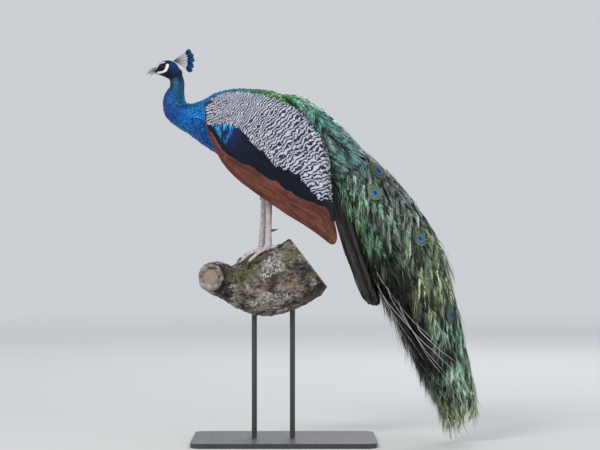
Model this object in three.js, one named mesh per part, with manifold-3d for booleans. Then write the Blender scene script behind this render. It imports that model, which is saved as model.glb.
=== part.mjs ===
// An Indian peacock standing on a cut length of limb, on a display stand. Still, life size.
// Millimetres, +Z up. The bird faces -X, its left side is -Y. The origin is the middle of the
// stand's underside. Run as an ES module with three and manifold-3d installed.
import * as THREE from "three";
import { mergeVertices } from "three/addons/utils/BufferGeometryUtils.js";
import Module from "manifold-3d";

const wasm = await Module();
wasm.setup();

// ---- driving dimensions -------------------------------------------------------------------

const GAP = 0.3; // clearance between neighbouring pieces
const CUT = 0.5; // width of the thin cuts that part the body
const SIDES = [
  ["left", -1],
  ["right", 1],
];

// Body sections from the top of the neck to the rump: back point x, z, belly point x, z, half width.
const BODY_STATIONS = [
  [-268, 978, -307, 962, 16],
  [-260, 952, -300, 936, 18],
  [-258, 931, -311, 923, 21],
  [-258, 910, -320, 905, 26],
  [-251, 893, -323, 879, 34],
  [-234, 894, -316, 851, 45],
  [-210, 904, -288, 824, 56],
  [-179, 923, -247, 798, 67],
  [-135, 932, -200, 763, 76],
  [-83, 933, -143, 732, 81],
  [-28, 928, -80, 708, 81],
  [21, 908, -21, 692, 76],
  [63, 877, 34, 681, 66],
  [96, 841, 76, 673, 54],
  [122, 805, 107, 672, 40],
  [138, 768, 126, 678, 24],
];
// Where the body is parted, as places along BODY_STATIONS, and the names from the head back.
const BODY_CUTS = [0.35, 1.9, 3.8, 6, 8.8, 11.6];
const BODY_NAMES = ["head", "neck_upper", "neck_lower", "breast", "trunk_front", "trunk_rear", "rump"];

// Head sections from the nape to the base of the bill, in the same form.
const HEAD_STATIONS = [
  [-273, 979, -280, 962, 6],
  [-280, 992, -293, 950, 13],
  [-293, 1001, -304, 952, 15.5],
  [-307, 1003, -315, 957, 15.5],
  [-321, 1000, -325, 961, 13.5],
  [-330, 992, -332, 963, 10.5],
  [-337, 984, -337, 965, 8],
  [-340, 979, -339, 968, 4],
];
const BILL_UPPER_STATIONS = [
  [-334, 985, -334, 972.4, 6.8],
  [-342, 982.5, -342, 971.4, 5.8],
  [-350, 978.5, -350, 969.8, 4.4],
  [-358, 972.5, -357.5, 966.6, 2.6],
  [-363, 966, -362, 963.5, 1],
];
const BILL_LOWER_STATIONS = [
  [-333, 971.6, -334, 963.5, 6],
  [-342, 970.6, -342, 963.8, 4.8],
  [-350, 969, -350, 963.6, 3.2],
  [-356.5, 965.8, -356, 963.2, 1.3],
];
const EYE = { x: -318, y: 9, z: 982, radius: 6.6 };

// The crest: bare shafts with spoon-shaped tips, fanned backwards from the crown.
const CREST = {
  root: [-289, 1003],
  count: 11,
  highest: 36, // degrees above straight back
  lowest: -27,
  length: 56,
  shaftRadius: 0.8,
  tipLength: 17,
  tipWidth: 9.5,
  tipThickness: 1.6,
  rootRadius: 3,
};

// Folded wing, seen from the side: upper edge x, z and lower edge x, z, from the shoulder to the
// tip, then how far out its face stands at the upper edge, in the middle and at the lower edge.
const WING_STATIONS = [
  [-203, 889, -201, 827, 44, 60, 54],
  [-184, 901, -195, 806, 47, 73, 65],
  [-151, 913, -177, 764, 49, 86, 78],
  [-101, 916, -145, 711, 50, 94, 84],
  [-49, 904, -104, 676, 52, 97, 88],
  [-2, 887, -62, 647, 55, 97, 90],
  [42, 858, -23, 621, 60, 95, 90],
  [78, 815, 16, 597, 68, 92, 88],
  [107, 774, 50, 577, 73, 88, 85],
  [116, 712, 78, 559, 75, 83, 81],
  [121, 640, 99, 543, 73, 77, 76],
  [130, 577, 117, 529, 68, 71, 70],
  [138, 533, 130, 517, 66, 67, 66],
];
const WING_THICKNESS = { shoulder: 13, tip: 5, edge: 2.5, overBody: 11 };
// Lines that part the barred coverts from the secondaries, and those from the primaries.
const COVERT_LINE = [
  [-225, 838],
  [-190, 840],
  [-166, 845],
  [-138, 832],
  [-117, 822],
  [-75, 771],
  [-41, 736],
  [16, 722],
  [70, 681],
  [135, 622],
];
const PRIMARY_LINE = [
  [-225, 836],
  [-195, 816],
  [-157, 755],
  [-112, 723],
  [-60, 697],
  [-5, 663],
  [57, 633],
  [99, 600],
  [160, 545],
];

// Train of long coverts: outer point x, z, inner point x, z, half width.
const TRAIN_STATIONS = [
  [-32, 925, -34, 908, 30],
  [32, 914, 20, 884, 52],
  [73, 892, 50, 832, 60],
  [109, 864, 76, 780, 65],
  [148, 829, 108, 728, 70],
  [193, 780, 139, 676, 76],
  [234, 729, 163, 622, 82],
  [276, 680, 184, 566, 88],
  [315, 635, 205, 505, 93],
  [354, 588, 232, 440, 96],
  [384, 540, 262, 382, 98],
  [411, 482, 292, 322, 97],
  [432, 422, 326, 268, 92],
  [447, 362, 353, 214, 84],
  [457, 303, 375, 164, 74],
  [469, 248, 396, 124, 63],
  [484, 188, 412, 90, 51],
  [499, 130, 423, 60, 38],
  [505, 84, 430, 36, 26],
  [498, 52, 438, 23, 14],
];
const TRAIN_CUTS = [5.5, 10.5, 14.5];
const TRAIN_NAMES = ["train_root", "train_upper", "train_lower", "train_tip"];

// Tail of stiff feathers under the train, in the same form.
const TAIL_STATIONS = [
  [118, 748, 96, 690, 26],
  [140, 700, 112, 650, 34],
  [164, 620, 140, 572, 42],
  [196, 520, 170, 480, 48],
  [224, 430, 200, 402, 50],
  [246, 366, 228, 358, 46],
];

// Legs. The right foot is set a little ahead of the left.
const LEG = { y: 34, rightAhead: 19, hockX: -39, hockZ: 650, ankleX: -41, radius: 8.5 };
const ANKLE_RADIUS = 9;
const THIGH = { topX: -100, topY: 40, topZ: 745, topRadius: 40 };
const SPUR = { above: 42, length: 17, radius: 4 };
// Toes: turn from straight ahead in degrees, away from the body's middle, length and radius.
const TOES = [
  ["inner", -24, 62, 5.2],
  ["middle", 0, 86, 6],
  ["outer", 27, 68, 5.2],
  ["hind", 172, 27, 4.3],
];
const TOE_SWELL = [1.15, 1, 1.05, 0.95, 0.95, 0.6]; // shares of a toe's radius along it
const TOE_CLEARANCE = 1.04; // height of its middle line over the limb, as a share of its radius
const CLAW_LENGTH = 15;
const CLAW_TAPER = [0.6, 0.58, 0.48, 0.3, 0.1]; // shares of the toe's radius
const CLAW_ARCH = [0, 1.6, 2, 1.2, -0.6]; // rise over the straight line

// The limb: middle x, y, z and radius of each section, from the broken stub to the cut face.
const PERCH_STATIONS = [
  [-192, -74, 433, 24],
  [-190, -66, 434, 32],
  [-184, -46, 435, 36],
  [-170, -22, 430, 42],
  [-148, -6, 415, 43],
  [-119, 0, 412, 61],
  [-73, 0, 414, 85],
  [-21, 0, 424, 87],
  [29, 0, 443, 86],
  [64, 0, 470, 80],
];
const PERCH_DEPTH = 0.93; // half depth over radius
const PERCH_SQUARENESS = 2.5; // exponent of its rounded section
const [PERCH_STEPS, PERCH_SIDES] = [14, 14];

const BASE = { length: 480, width: 340, thickness: 12, corner: 30, bevel: 1.5 };
const ROD = { radius: 7, xs: [-78, 22] };

// ---- solids -------------------------------------------------------------------------------

// A closed geometry as a manifold solid, turned outwards.
function solidOf(geometry) {
  const bare = geometry.index ? geometry.toNonIndexed() : geometry.clone();
  bare.deleteAttribute("normal");
  bare.deleteAttribute("uv");
  const merged = mergeVertices(bare, 1e-3);
  const triVerts = new Uint32Array(merged.index.array);
  const vertProperties = new Float32Array(merged.attributes.position.array);
  const made = new wasm.Manifold(new wasm.Mesh({ numProp: 3, vertProperties, triVerts }));
  if (made.volume() > 0) return made;
  for (let i = 0; i < triVerts.length; i += 3) {
    [triVerts[i + 1], triVerts[i + 2]] = [triVerts[i + 2], triVerts[i + 1]];
  }
  return new wasm.Manifold(new wasm.Mesh({ numProp: 3, vertProperties, triVerts }));
}

function geometryOf(solid) {
  const { numVert, numProp, vertProperties, triVerts } = solid.getMesh();
  const places = new Float32Array(numVert * 3);
  for (let i = 0; i < numVert; i++) {
    places.set(vertProperties.subarray(i * numProp, i * numProp + 3), i * 3);
  }
  return new THREE.BufferGeometry()
    .setAttribute("position", new THREE.BufferAttribute(places, 3))
    .setIndex(new THREE.BufferAttribute(triVerts, 1));
}

// The largest of a solid's separate bodies, without the slivers that cuts leave.
function mainBody(solid) {
  return solid.decompose().sort((a, b) => b.volume() - a.volume())[0];
}

// The middle of a solid's surface points.
function centreOf(solid) {
  const places = geometryOf(solid).attributes.position;
  const sum = new THREE.Vector3();
  for (let i = 0; i < places.count; i++) sum.add(new THREE.Vector3().fromBufferAttribute(places, i));
  return sum.divideScalar(places.count);
}

// Triangles of the wall through rings of points, each ring joined to the next.
function wallFaces(ringCount, around) {
  const index = [];
  for (let i = 0; i + 1 < ringCount; i++) {
    for (let j = 0; j < around; j++) {
      const a = i * around + j;
      const b = i * around + ((j + 1) % around);
      index.push(a, b, b + around, a, b + around, a + around);
    }
  }
  return index;
}

// A tube through closed rings of points, closed at both ends.
function tube(rings) {
  const around = rings[0].length;
  const points = rings.flat();
  const index = wallFaces(rings.length, around);
  for (const [ring, start, turned] of [
    [rings[0], 0, true],
    [rings.at(-1), (rings.length - 1) * around, false],
  ]) {
    const middle = points.length;
    points.push(ring.reduce((sum, p) => sum.add(p), new THREE.Vector3()).divideScalar(around));
    for (let j = 0; j < around; j++) {
      const [a, b] = [start + j, start + ((j + 1) % around)];
      index.push(...(turned ? [middle, b, a] : [middle, a, b]));
    }
  }
  return solidOf(new THREE.BufferGeometry().setFromPoints(points).setIndex(index));
}

// A plate between an outer and an inner grid of points, closed along its four edges.
function plate(outer, inner) {
  const rings = outer.map((row, i) => [...row, ...[...inner[i]].reverse()]);
  const [across, around] = [outer[0].length, rings[0].length];
  const index = wallFaces(rings.length, around);
  for (const [start, turned] of [
    [0, true],
    [(rings.length - 1) * around, false],
  ]) {
    for (let j = 0; j + 1 < across; j++) {
      const [a, b] = [start + j, start + j + 1];
      const [c, d] = [start + around - 2 - j, start + around - 1 - j];
      index.push(...(turned ? [a, c, b, a, d, c] : [a, b, c, a, c, d]));
    }
  }
  return solidOf(new THREE.BufferGeometry().setFromPoints(rings.flat()).setIndex(index));
}

// ---- sections and curves ------------------------------------------------------------------

// A smooth curve through columns x and z of a table; place runs along the table's rows.
function curveOf(stations, x, z) {
  const points = stations.map((row) => new THREE.Vector3(row[x], 0, row[z]));
  const curve = new THREE.CatmullRomCurve3(points, false, "catmullrom", 0.5);
  return (place) => curve.getPoint(place / (stations.length - 1));
}

// One column of a table, interpolated smoothly; place runs along the table's rows.
function valueOf(stations, column) {
  const points = stations.map((row, i) => new THREE.Vector2(i, row[column]));
  const curve = new THREE.SplineCurve(points);
  return (place) => curve.getPoint(place / (stations.length - 1)).y;
}

// Rings round a body given by its upper and lower line and its half width.
function rings(stations, steps, sides, { grow = 0, flatBelow = 0 } = {}) {
  const [upper, lower] = [curveOf(stations, 0, 1), curveOf(stations, 2, 3)];
  const halfWidth = valueOf(stations, 4);
  return Array.from({ length: steps + 1 }, (_, i) => {
    const place = (i / steps) * (stations.length - 1);
    const [top, bottom] = [upper(place), lower(place)];
    const middle = top.clone().add(bottom).multiplyScalar(0.5);
    const up = top.clone().sub(bottom).multiplyScalar(0.5);
    up.setLength(up.length() + grow);
    const wide = halfWidth(place) + grow;
    return Array.from({ length: sides }, (_, j) => {
      const angle = (j / sides) * 2 * Math.PI;
      const height = Math.cos(angle);
      const squeeze = 1 + flatBelow * Math.max(0, -height);
      return middle
        .clone()
        .addScaledVector(up, height)
        .add(new THREE.Vector3(0, Math.sin(angle) * wide * squeeze, 0));
    });
  });
}

function loft(stations, steps, sides, options) {
  return tube(rings(stations, steps, sides, options));
}

// A round tube along a list of points, with a radius for each.
function roundTube(points, radii, sides) {
  const curve = new THREE.CatmullRomCurve3(points);
  const ahead = points.map((_, i) => curve.getTangent(i / (points.length - 1)));
  const level = new THREE.Vector3(0, 0, 1);
  return tube(
    points.map((p, i) => {
      const across = new THREE.Vector3().crossVectors(ahead[i], level);
      if (across.length() < 0.2) across.set(0, 1, 0);
      across.normalize();
      const up = new THREE.Vector3().crossVectors(across, ahead[i]).normalize();
      return Array.from({ length: sides }, (_, j) => {
        const angle = (j / sides) * 2 * Math.PI;
        return p
          .clone()
          .addScaledVector(across, Math.cos(angle) * radii[i])
          .addScaledVector(up, Math.sin(angle) * radii[i]);
      });
    }),
  );
}

// A thin upright slab across a body at a place along its stations.
function slabAt(stations, place) {
  const [top, bottom] = [curveOf(stations, 0, 1)(place), curveOf(stations, 2, 3)(place)];
  const height = top.distanceTo(bottom) + 60;
  const middle = top.clone().add(bottom).multiplyScalar(0.5);
  const lean = Math.atan2(top.x - bottom.x, top.z - bottom.z);
  const slab = new THREE.BoxGeometry(CUT, 300, height);
  slab.rotateY(lean).translate(middle.x, 0, middle.z);
  return solidOf(slab);
}

// The pieces that slabs cut a solid into, in the order of the places along its stations.
function parted(solid, stations, cuts) {
  let rest = solid;
  for (const place of cuts) rest = rest.subtract(slabAt(stations, place));
  const [upper, lower] = [curveOf(stations, 0, 1), curveOf(stations, 2, 3)];
  const nearestPlace = (piece) => {
    const middle = centreOf(piece);
    let [nearest, best] = [0, Infinity];
    for (let place = 0; place <= stations.length - 1; place += 0.1) {
      const distance = upper(place).add(lower(place)).multiplyScalar(0.5).distanceTo(middle);
      if (distance < best) [nearest, best] = [place, distance];
    }
    return nearest;
  };
  const bodies = rest.decompose().sort((a, b) => b.volume() - a.volume());
  return bodies.slice(0, cuts.length + 1).sort((a, b) => nearestPlace(a) - nearestPlace(b));
}

// ---- the parts ----------------------------------------------------------------------------

const parts = []; // [name, solid, finish]
const flesh = { color: 0x14489c, roughness: 0.6 };
const horn = { color: 0x8e8780, roughness: 0.5 };
const scaly = { color: 0x9c918c, roughness: 0.7 };

const bodyLoft = (grow) => loft(BODY_STATIONS, 24, 14, { grow });
const headLoft = (grow) => loft(HEAD_STATIONS, 9, 12, { grow });

function eyeball(side, grow) {
  const ball = new THREE.SphereGeometry(EYE.radius + grow, 10, 6);
  return solidOf(ball.translate(EYE.x, side * EYE.y, EYE.z));
}

function addHeadNeckAndTrunk() {
  let whole = bodyLoft(0).add(headLoft(0));
  for (const [, side] of SIDES) whole = whole.subtract(eyeball(side, GAP));
  const bodies = parted(whole, BODY_STATIONS, BODY_CUTS);
  BODY_NAMES.forEach((name, i) => parts.push([name, bodies[i], flesh]));
  for (const [name, side] of SIDES) {
    parts.push([`eye_${name}`, eyeball(side, 0), { color: 0x1a0f08, roughness: 0.1 }]);
  }
}

function addBill() {
  const head = headLoft(GAP);
  for (const [name, stations] of [
    ["bill_upper", BILL_UPPER_STATIONS],
    ["bill_lower", BILL_LOWER_STATIONS],
  ]) {
    parts.push([name, mainBody(loft(stations, 5, 8).subtract(head)), horn]);
  }
}

// One crest feather: a thin shaft and its spoon-shaped tip.
function crestFeather(lift) {
  const { length, shaftRadius, tipLength, tipWidth, tipThickness } = CREST;
  const shaft = new THREE.CylinderGeometry(shaftRadius, shaftRadius, length - tipLength / 2, 4);
  shaft.rotateZ(-Math.PI / 2).translate((length - tipLength / 2) / 2, 0, 0);
  const tip = new THREE.SphereGeometry(0.5, 5, 3).rotateZ(Math.PI / 2);
  tip.scale(tipLength, tipThickness, tipWidth).translate(length - tipLength / 2, 0, 0);
  const feather = solidOf(shaft).add(solidOf(tip));
  return feather.rotate([0, -lift, 0]);
}

function addCrest() {
  let crest = solidOf(new THREE.IcosahedronGeometry(CREST.rootRadius, 0));
  for (let i = 0; i < CREST.count; i++) {
    const share = i / (CREST.count - 1);
    const lift = CREST.lowest + share * (CREST.highest - CREST.lowest);
    const sway = (i % 2 ? 1 : -1) * 0.7;
    crest = crest.add(crestFeather(lift).translate([0, sway, 0]));
  }
  crest = crest.translate([CREST.root[0], 0, CREST.root[1]]);
  const head = headLoft(GAP).add(bodyLoft(GAP));
  parts.push(["crest", mainBody(crest.subtract(head)), { color: 0x1b3f9a, roughness: 0.5 }]);
}

// How far the body's side stands out at a point of the side view, or 0 where it isn't there.
function sideOfBody() {
  const body = new THREE.Mesh(geometryOf(bodyLoft(0)));
  const caster = new THREE.Raycaster();
  return (x, z) => {
    caster.set(new THREE.Vector3(x, 300, z), new THREE.Vector3(0, -1, 0));
    const hit = caster.intersectObject(body)[0];
    return hit ? Math.max(0, hit.point.y) : 0;
  };
}

// The whole folded wing of the right side, draped over the body.
function wingBlade(standOut, grow) {
  const [rows, columns] = [13, 5];
  const [upper, lower] = [curveOf(WING_STATIONS, 0, 1), curveOf(WING_STATIONS, 2, 3)];
  const faces = [4, 5, 6].map((column) => valueOf(WING_STATIONS, column));
  const { shoulder, tip, edge, overBody } = WING_THICKNESS;
  const [outer, inner] = [[], []];
  for (let i = 0; i <= rows; i++) {
    const place = (i / rows) * (WING_STATIONS.length - 1);
    const [top, bottom] = [upper(place), lower(place)];
    const [atTop, atMiddle, atBottom] = faces.map((face) => face(place));
    outer.push([]);
    inner.push([]);
    for (let j = 0; j <= columns; j++) {
      const v = j / columns;
      const point = top.clone().lerp(bottom, v);
      const lens = Math.min(1, 4 * v * (1 - v) + 0.25) * Math.min(1, i / 2 + 0.3);
      const full = THREE.MathUtils.lerp(shoulder, tip, i / rows);
      const thick = Math.max(edge, full * lens);
      const bulge = THREE.MathUtils.lerp(
        THREE.MathUtils.lerp(atTop, atMiddle, Math.sqrt(Math.min(1, 2 * v))),
        atBottom,
        Math.max(0, 2 * v - 1) ** 2,
      );
      const y = Math.max(bulge, standOut(point.x, point.z) + overBody);
      outer.at(-1).push(new THREE.Vector3(point.x, y + grow, point.z));
      inner.at(-1).push(new THREE.Vector3(point.x, y - thick - grow, point.z));
    }
  }
  return plate(outer, inner);
}

// A thin wall through both wings along a line of the side view.
function wallAlong(line) {
  const upper = line.map(([x, z]) => new THREE.Vector2(x, z + CUT / 2));
  const lower = line.map(([x, z]) => new THREE.Vector2(x, z - CUT / 2)).reverse();
  const wall = new THREE.ExtrudeGeometry(new THREE.Shape([...upper, ...lower]), {
    depth: 200,
    bevelEnabled: false,
  });
  return solidOf(wall.rotateX(Math.PI / 2).translate(0, 200, 0));
}

function addWings() {
  const standOut = sideOfBody();
  const body = bodyLoft(GAP);
  const blade = wingBlade(standOut, 0).subtract(body).subtract(body.mirror([0, 1, 0]));
  const cut = blade.subtract(wallAlong(COVERT_LINE)).subtract(wallAlong(PRIMARY_LINE));
  const pieces = cut.decompose().sort((a, b) => b.volume() - a.volume()).slice(0, 3);
  const middleHeight = (piece) => {
    const { min, max } = piece.boundingBox();
    return min[2] + max[2];
  };
  pieces.sort((a, b) => middleHeight(b) - middleHeight(a));
  const finishes = [
    ["wing_coverts", { color: 0xb9b3b0, roughness: 0.8 }],
    ["wing_secondaries", { color: 0x12161f, roughness: 0.5 }],
    ["wing_primaries", { color: 0x97492f, roughness: 0.7 }],
  ];
  for (const [name, side] of SIDES) {
    finishes.forEach(([piece, finish], i) => {
      const made = side > 0 ? pieces[i] : pieces[i].mirror([0, 1, 0]);
      parts.push([`${piece}_${name}`, made, finish]);
    });
  }
  return wingBlade(standOut, GAP);
}

function addTrainAndTail(wing) {
  const body = bodyLoft(GAP);
  const tail = loft(TAIL_STATIONS, 8, 12).subtract(body);
  parts.push(["tail", mainBody(tail), { color: 0x2a2320, roughness: 0.8 }]);
  let train = loft(TRAIN_STATIONS, 22, 12, { flatBelow: 0.12 }).subtract(body);
  train = train.subtract(loft(TAIL_STATIONS, 8, 12, { grow: GAP }));
  train = train.subtract(wing).subtract(wing.mirror([0, 1, 0]));
  const lengths = parted(mainBody(train), TRAIN_STATIONS, TRAIN_CUTS);
  TRAIN_NAMES.forEach((name, i) => {
    parts.push([name, mainBody(lengths[i]), { color: 0x2f5a34, roughness: 0.7 }]);
  });
}

// The limb, with a rounded, slightly square section square to its middle line.
function limb(grow) {
  const points = PERCH_STATIONS.map(([x, y, z]) => new THREE.Vector3(x, y, z));
  const line = new THREE.CatmullRomCurve3(points, false, "catmullrom", 0.5);
  const radius = valueOf(PERCH_STATIONS, 3);
  const squared = (value) => Math.sign(value) * Math.abs(value) ** (2 / PERCH_SQUARENESS);
  return tube(
    Array.from({ length: PERCH_STEPS + 1 }, (_, i) => {
      const share = i / PERCH_STEPS;
      const ahead = line.getTangent(share);
      const level = new THREE.Vector3(0, 0, 1).cross(ahead).normalize();
      const up = ahead.clone().cross(level);
      const end = share === 0 ? -grow : share === 1 ? grow : 0;
      const middle = line.getPoint(share).addScaledVector(ahead, end);
      const r = radius(share * (PERCH_STATIONS.length - 1)) + grow;
      return Array.from({ length: PERCH_SIDES }, (_, j) => {
        const angle = (j / PERCH_SIDES) * 2 * Math.PI;
        return middle
          .clone()
          .addScaledVector(up, squared(Math.cos(angle)) * r)
          .addScaledVector(level, squared(Math.sin(angle)) * r * PERCH_DEPTH);
      });
    }),
  );
}

// Height of the limb's upper side at x, y.
function topOfLimb() {
  const mesh = new THREE.Mesh(geometryOf(limb(0)));
  const caster = new THREE.Raycaster();
  return (x, y) => {
    caster.set(new THREE.Vector3(x, y, 900), new THREE.Vector3(0, 0, -1));
    return caster.intersectObject(mesh)[0].point.z;
  };
}

function addPerchAndStand() {
  parts.push(["perch", limb(0), { color: 0x5d5148, roughness: 0.95 }]);
  const outline = new THREE.Shape();
  const [halfLength, halfWidth, r] = [BASE.length / 2, BASE.width / 2, BASE.corner];
  outline.absarc(halfLength - r, halfWidth - r, r, 0, Math.PI / 2);
  outline.absarc(-halfLength + r, halfWidth - r, r, Math.PI / 2, Math.PI);
  outline.absarc(-halfLength + r, -halfWidth + r, r, Math.PI, 1.5 * Math.PI);
  outline.absarc(halfLength - r, -halfWidth + r, r, 1.5 * Math.PI, 2 * Math.PI);
  const steel = { color: 0x1c1c1e, roughness: 0.5, metalness: 0.6 };
  const slab = new THREE.ExtrudeGeometry(outline, {
    depth: BASE.thickness - 2 * BASE.bevel,
    bevelThickness: BASE.bevel,
    bevelSize: BASE.bevel,
    bevelOffset: -BASE.bevel,
    bevelSegments: 1,
    curveSegments: 3,
  });
  parts.push(["stand_base", solidOf(slab.translate(0, 0, BASE.bevel)), steel]);
  const under = limb(GAP);
  ROD.xs.forEach((x, i) => {
    const bottom = BASE.thickness + GAP;
    const top = 420;
    const rod = new THREE.CylinderGeometry(ROD.radius, ROD.radius, top - bottom, 14);
    rod.rotateX(Math.PI / 2).translate(x, 0, (top + bottom) / 2);
    parts.push([`stand_rod_${i + 1}`, mainBody(solidOf(rod).subtract(under)), steel]);
  });
}

// The middle line of a toe and its claw, lying along the limb's upper side.
function toeLine(start, turn, side, length, radius, heightAt) {
  const angle = THREE.MathUtils.degToRad(turn);
  const points = [];
  let covered = 0;
  for (let reach = 0; covered < length; reach++) {
    const x = start.x - Math.cos(angle) * reach;
    const y = start.y + Math.sin(angle) * side * reach;
    points.push(new THREE.Vector3(x, y, heightAt(x, y) + radius * TOE_CLEARANCE));
    if (reach > 0) covered += points.at(-1).distanceTo(points.at(-2));
  }
  const line = new THREE.CatmullRomCurve3(points);
  return (from, to, count) =>
    Array.from({ length: count }, (_, i) => line.getPointAt(from + ((to - from) * i) / (count - 1)));
}

const scaledBy = (radius, shares) => shares.map((share) => share * radius);
const grownBy = (gap, radii) => radii.map((radius) => radius + gap);

// The foot of one side with its claws, clear of the limb and the shank.
function addFoot(name, side, ankle, heightAt, perch, grownShank) {
  const pad = new THREE.IcosahedronGeometry(ANKLE_RADIUS, 0);
  let foot = solidOf(pad.translate(ankle.x, ankle.y, ankle.z));
  for (const [toe, turn, length, radius] of TOES) {
    const line = toeLine(ankle, turn, side, length + CLAW_LENGTH, radius, heightAt);
    const knuckle = length / (length + CLAW_LENGTH);
    const [toePoints, toeRadii] = [line(0, knuckle, 6), scaledBy(radius, TOE_SWELL)];
    foot = foot.add(roundTube(toePoints, toeRadii, 6));
    const arch = line(knuckle, 1, 5).map((p, i) => p.setZ(p.z + CLAW_ARCH[i]));
    const claw = roundTube(arch, scaledBy(radius, CLAW_TAPER), 6);
    const clear = claw.subtract(roundTube(toePoints, grownBy(GAP, toeRadii), 6)).subtract(perch);
    parts.push([`claw_${toe}_${name}`, mainBody(clear), horn]);
  }
  const clearFoot = mainBody(foot.subtract(perch).subtract(grownShank));
  parts.push([`foot_${name}`, clearFoot, scaly]);
}

// A spur on the back of a shank.
function addSpur(name, side, hock, ankle, grownShank) {
  const from = ankle.clone().lerp(hock, SPUR.above / hock.distanceTo(ankle));
  const points = [0.2, 0.5, 0.8, 1].map((share) => {
    const out = new THREE.Vector3(share * (SPUR.length + LEG.radius), -side * 3 * share, 5 * share ** 2);
    return out.add(from);
  });
  const spur = roundTube(points, scaledBy(SPUR.radius, [1, 0.85, 0.45, 0.12]), 6);
  parts.push([`spur_${name}`, mainBody(spur.subtract(grownShank)), horn]);
}

function addLegs() {
  const [heightAt, body, perch] = [topOfLimb(), bodyLoft(GAP), limb(GAP)];
  for (const [name, side] of SIDES) {
    const shift = side > 0 ? -LEG.rightAhead : 0;
    const hock = new THREE.Vector3(LEG.hockX + shift * 0.6, side * LEG.y, LEG.hockZ);
    const ankle = new THREE.Vector3(LEG.ankleX + shift, side * LEG.y, 0);
    ankle.z = heightAt(ankle.x, ankle.y) + ANKLE_RADIUS;

    const thighTop = new THREE.Vector3(THIGH.topX, side * THIGH.topY, THIGH.topZ);
    const thighPoints = [0, 0.25, 0.5, 0.75, 0.92, 1].map((t) => thighTop.clone().lerp(hock, t));
    const thighRadii = scaledBy(THIGH.topRadius, [1, 0.93, 0.72, 0.46, 0.32, 0.29]);
    const thigh = roundTube(thighPoints, thighRadii, 10).subtract(body);
    parts.push([`thigh_${name}`, mainBody(thigh), { color: 0x8a7358, roughness: 0.9 }]);

    const shankPoints = [-0.03, 0.05, 0.14, 0.3, 0.5, 0.7, 0.9, 0.97].map((t) =>
      hock.clone().lerp(ankle, t),
    );
    const shankRadii = scaledBy(LEG.radius, [1.15, 1.4, 1.15, 1, 0.95, 1, 1.08, 1.2]);
    const shank = roundTube(shankPoints, shankRadii, 8);
    const clearShank = shank.subtract(roundTube(thighPoints, grownBy(GAP, thighRadii), 10));
    parts.push([`shank_${name}`, mainBody(clearShank), scaly]);

    const grownShank = roundTube(shankPoints, grownBy(GAP, shankRadii), 8);
    const lowestRing = ankle.clone().lerp(hock, 0.01);
    const under = new THREE.CylinderGeometry(LEG.radius, LEG.radius, 3 * GAP, 8);
    under.rotateX(Math.PI / 2).translate(lowestRing.x, lowestRing.y, lowestRing.z);
    addSpur(name, side, hock, ankle, grownShank);
    addFoot(name, side, ankle, heightAt, perch, grownShank.add(solidOf(under)));
  }
}

addHeadNeckAndTrunk();
addBill();
addCrest();
addTrainAndTail(addWings());
addLegs();
addPerchAndStand();

const peacock = new THREE.Group();
for (const [name, solid, finish] of parts) {
  const mesh = new THREE.Mesh(geometryOf(solid), new THREE.MeshStandardMaterial(finish));
  mesh.name = name;
  peacock.add(mesh);
}

export default peacock;
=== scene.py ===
"""A still, life-size peacock standing on a cut length of branch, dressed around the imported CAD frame.

Lengths are in metres. The bird faces -X, its left side faces -Y, and the stand rests on Z = 0.
"""

import math

import bmesh
import bpy
import numpy as np
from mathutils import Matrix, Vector, kdtree, noise
from mathutils.bvhtree import BVHTree


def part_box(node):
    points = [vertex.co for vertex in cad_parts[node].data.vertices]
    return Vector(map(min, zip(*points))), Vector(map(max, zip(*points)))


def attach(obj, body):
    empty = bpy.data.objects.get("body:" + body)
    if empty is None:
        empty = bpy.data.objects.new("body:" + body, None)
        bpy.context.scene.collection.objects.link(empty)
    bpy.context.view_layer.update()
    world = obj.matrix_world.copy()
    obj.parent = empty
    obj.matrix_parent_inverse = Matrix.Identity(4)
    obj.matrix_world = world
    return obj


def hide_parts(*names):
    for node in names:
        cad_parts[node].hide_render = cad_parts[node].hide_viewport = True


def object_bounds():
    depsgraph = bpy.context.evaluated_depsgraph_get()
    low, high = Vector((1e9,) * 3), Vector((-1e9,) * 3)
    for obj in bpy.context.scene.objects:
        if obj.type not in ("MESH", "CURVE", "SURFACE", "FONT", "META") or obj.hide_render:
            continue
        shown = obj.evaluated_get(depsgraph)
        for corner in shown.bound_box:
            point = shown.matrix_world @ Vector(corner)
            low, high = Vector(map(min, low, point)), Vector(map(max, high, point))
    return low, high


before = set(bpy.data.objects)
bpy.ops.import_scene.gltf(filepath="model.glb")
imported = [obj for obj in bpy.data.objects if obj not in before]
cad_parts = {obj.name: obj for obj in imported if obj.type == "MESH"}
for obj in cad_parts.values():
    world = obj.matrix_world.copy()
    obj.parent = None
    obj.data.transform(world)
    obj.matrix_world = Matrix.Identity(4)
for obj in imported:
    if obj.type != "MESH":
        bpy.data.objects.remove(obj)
CAD_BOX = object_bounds()

SIDES = {"left": -1.0, "right": 1.0}
BODY_RUN = ["head", "neck_upper", "neck_lower", "breast", "trunk_front", "trunk_rear", "rump"]
TRAIN_RUN = ["train_root", "train_upper", "train_lower", "train_tip"]
LEG_RUN = [f"{part}_{side}" for part in ("thigh", "shank", "foot") for side in SIDES]
SIDEWAYS = np.array([0.0, 1.0, 0.0])
DOWN = np.array([0.0, 0.0, -1.0])

# The size of the even quads that each closed mesh is rebuilt from.
VOXELS = {
    "skin": 0.0031, "wing": 0.0035, "train": 0.006, "tail": 0.004,
    "bill": 0.0006, "claws": 0.0007, "branch": 0.0028,
}
# What each part's random draws start from, so that every run gives the same bird.
SEEDS = {"coat": 11, "wing_left": 31, "wing_right": 32, "train": 57, "tail": 71, "legs": 83, "crest": 5}


# ---------------------------------------------------------------- numbers and meshes

def draws(part):
    """The part's own random numbers, the same in every run."""
    return np.random.default_rng(SEEDS[part])


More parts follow.
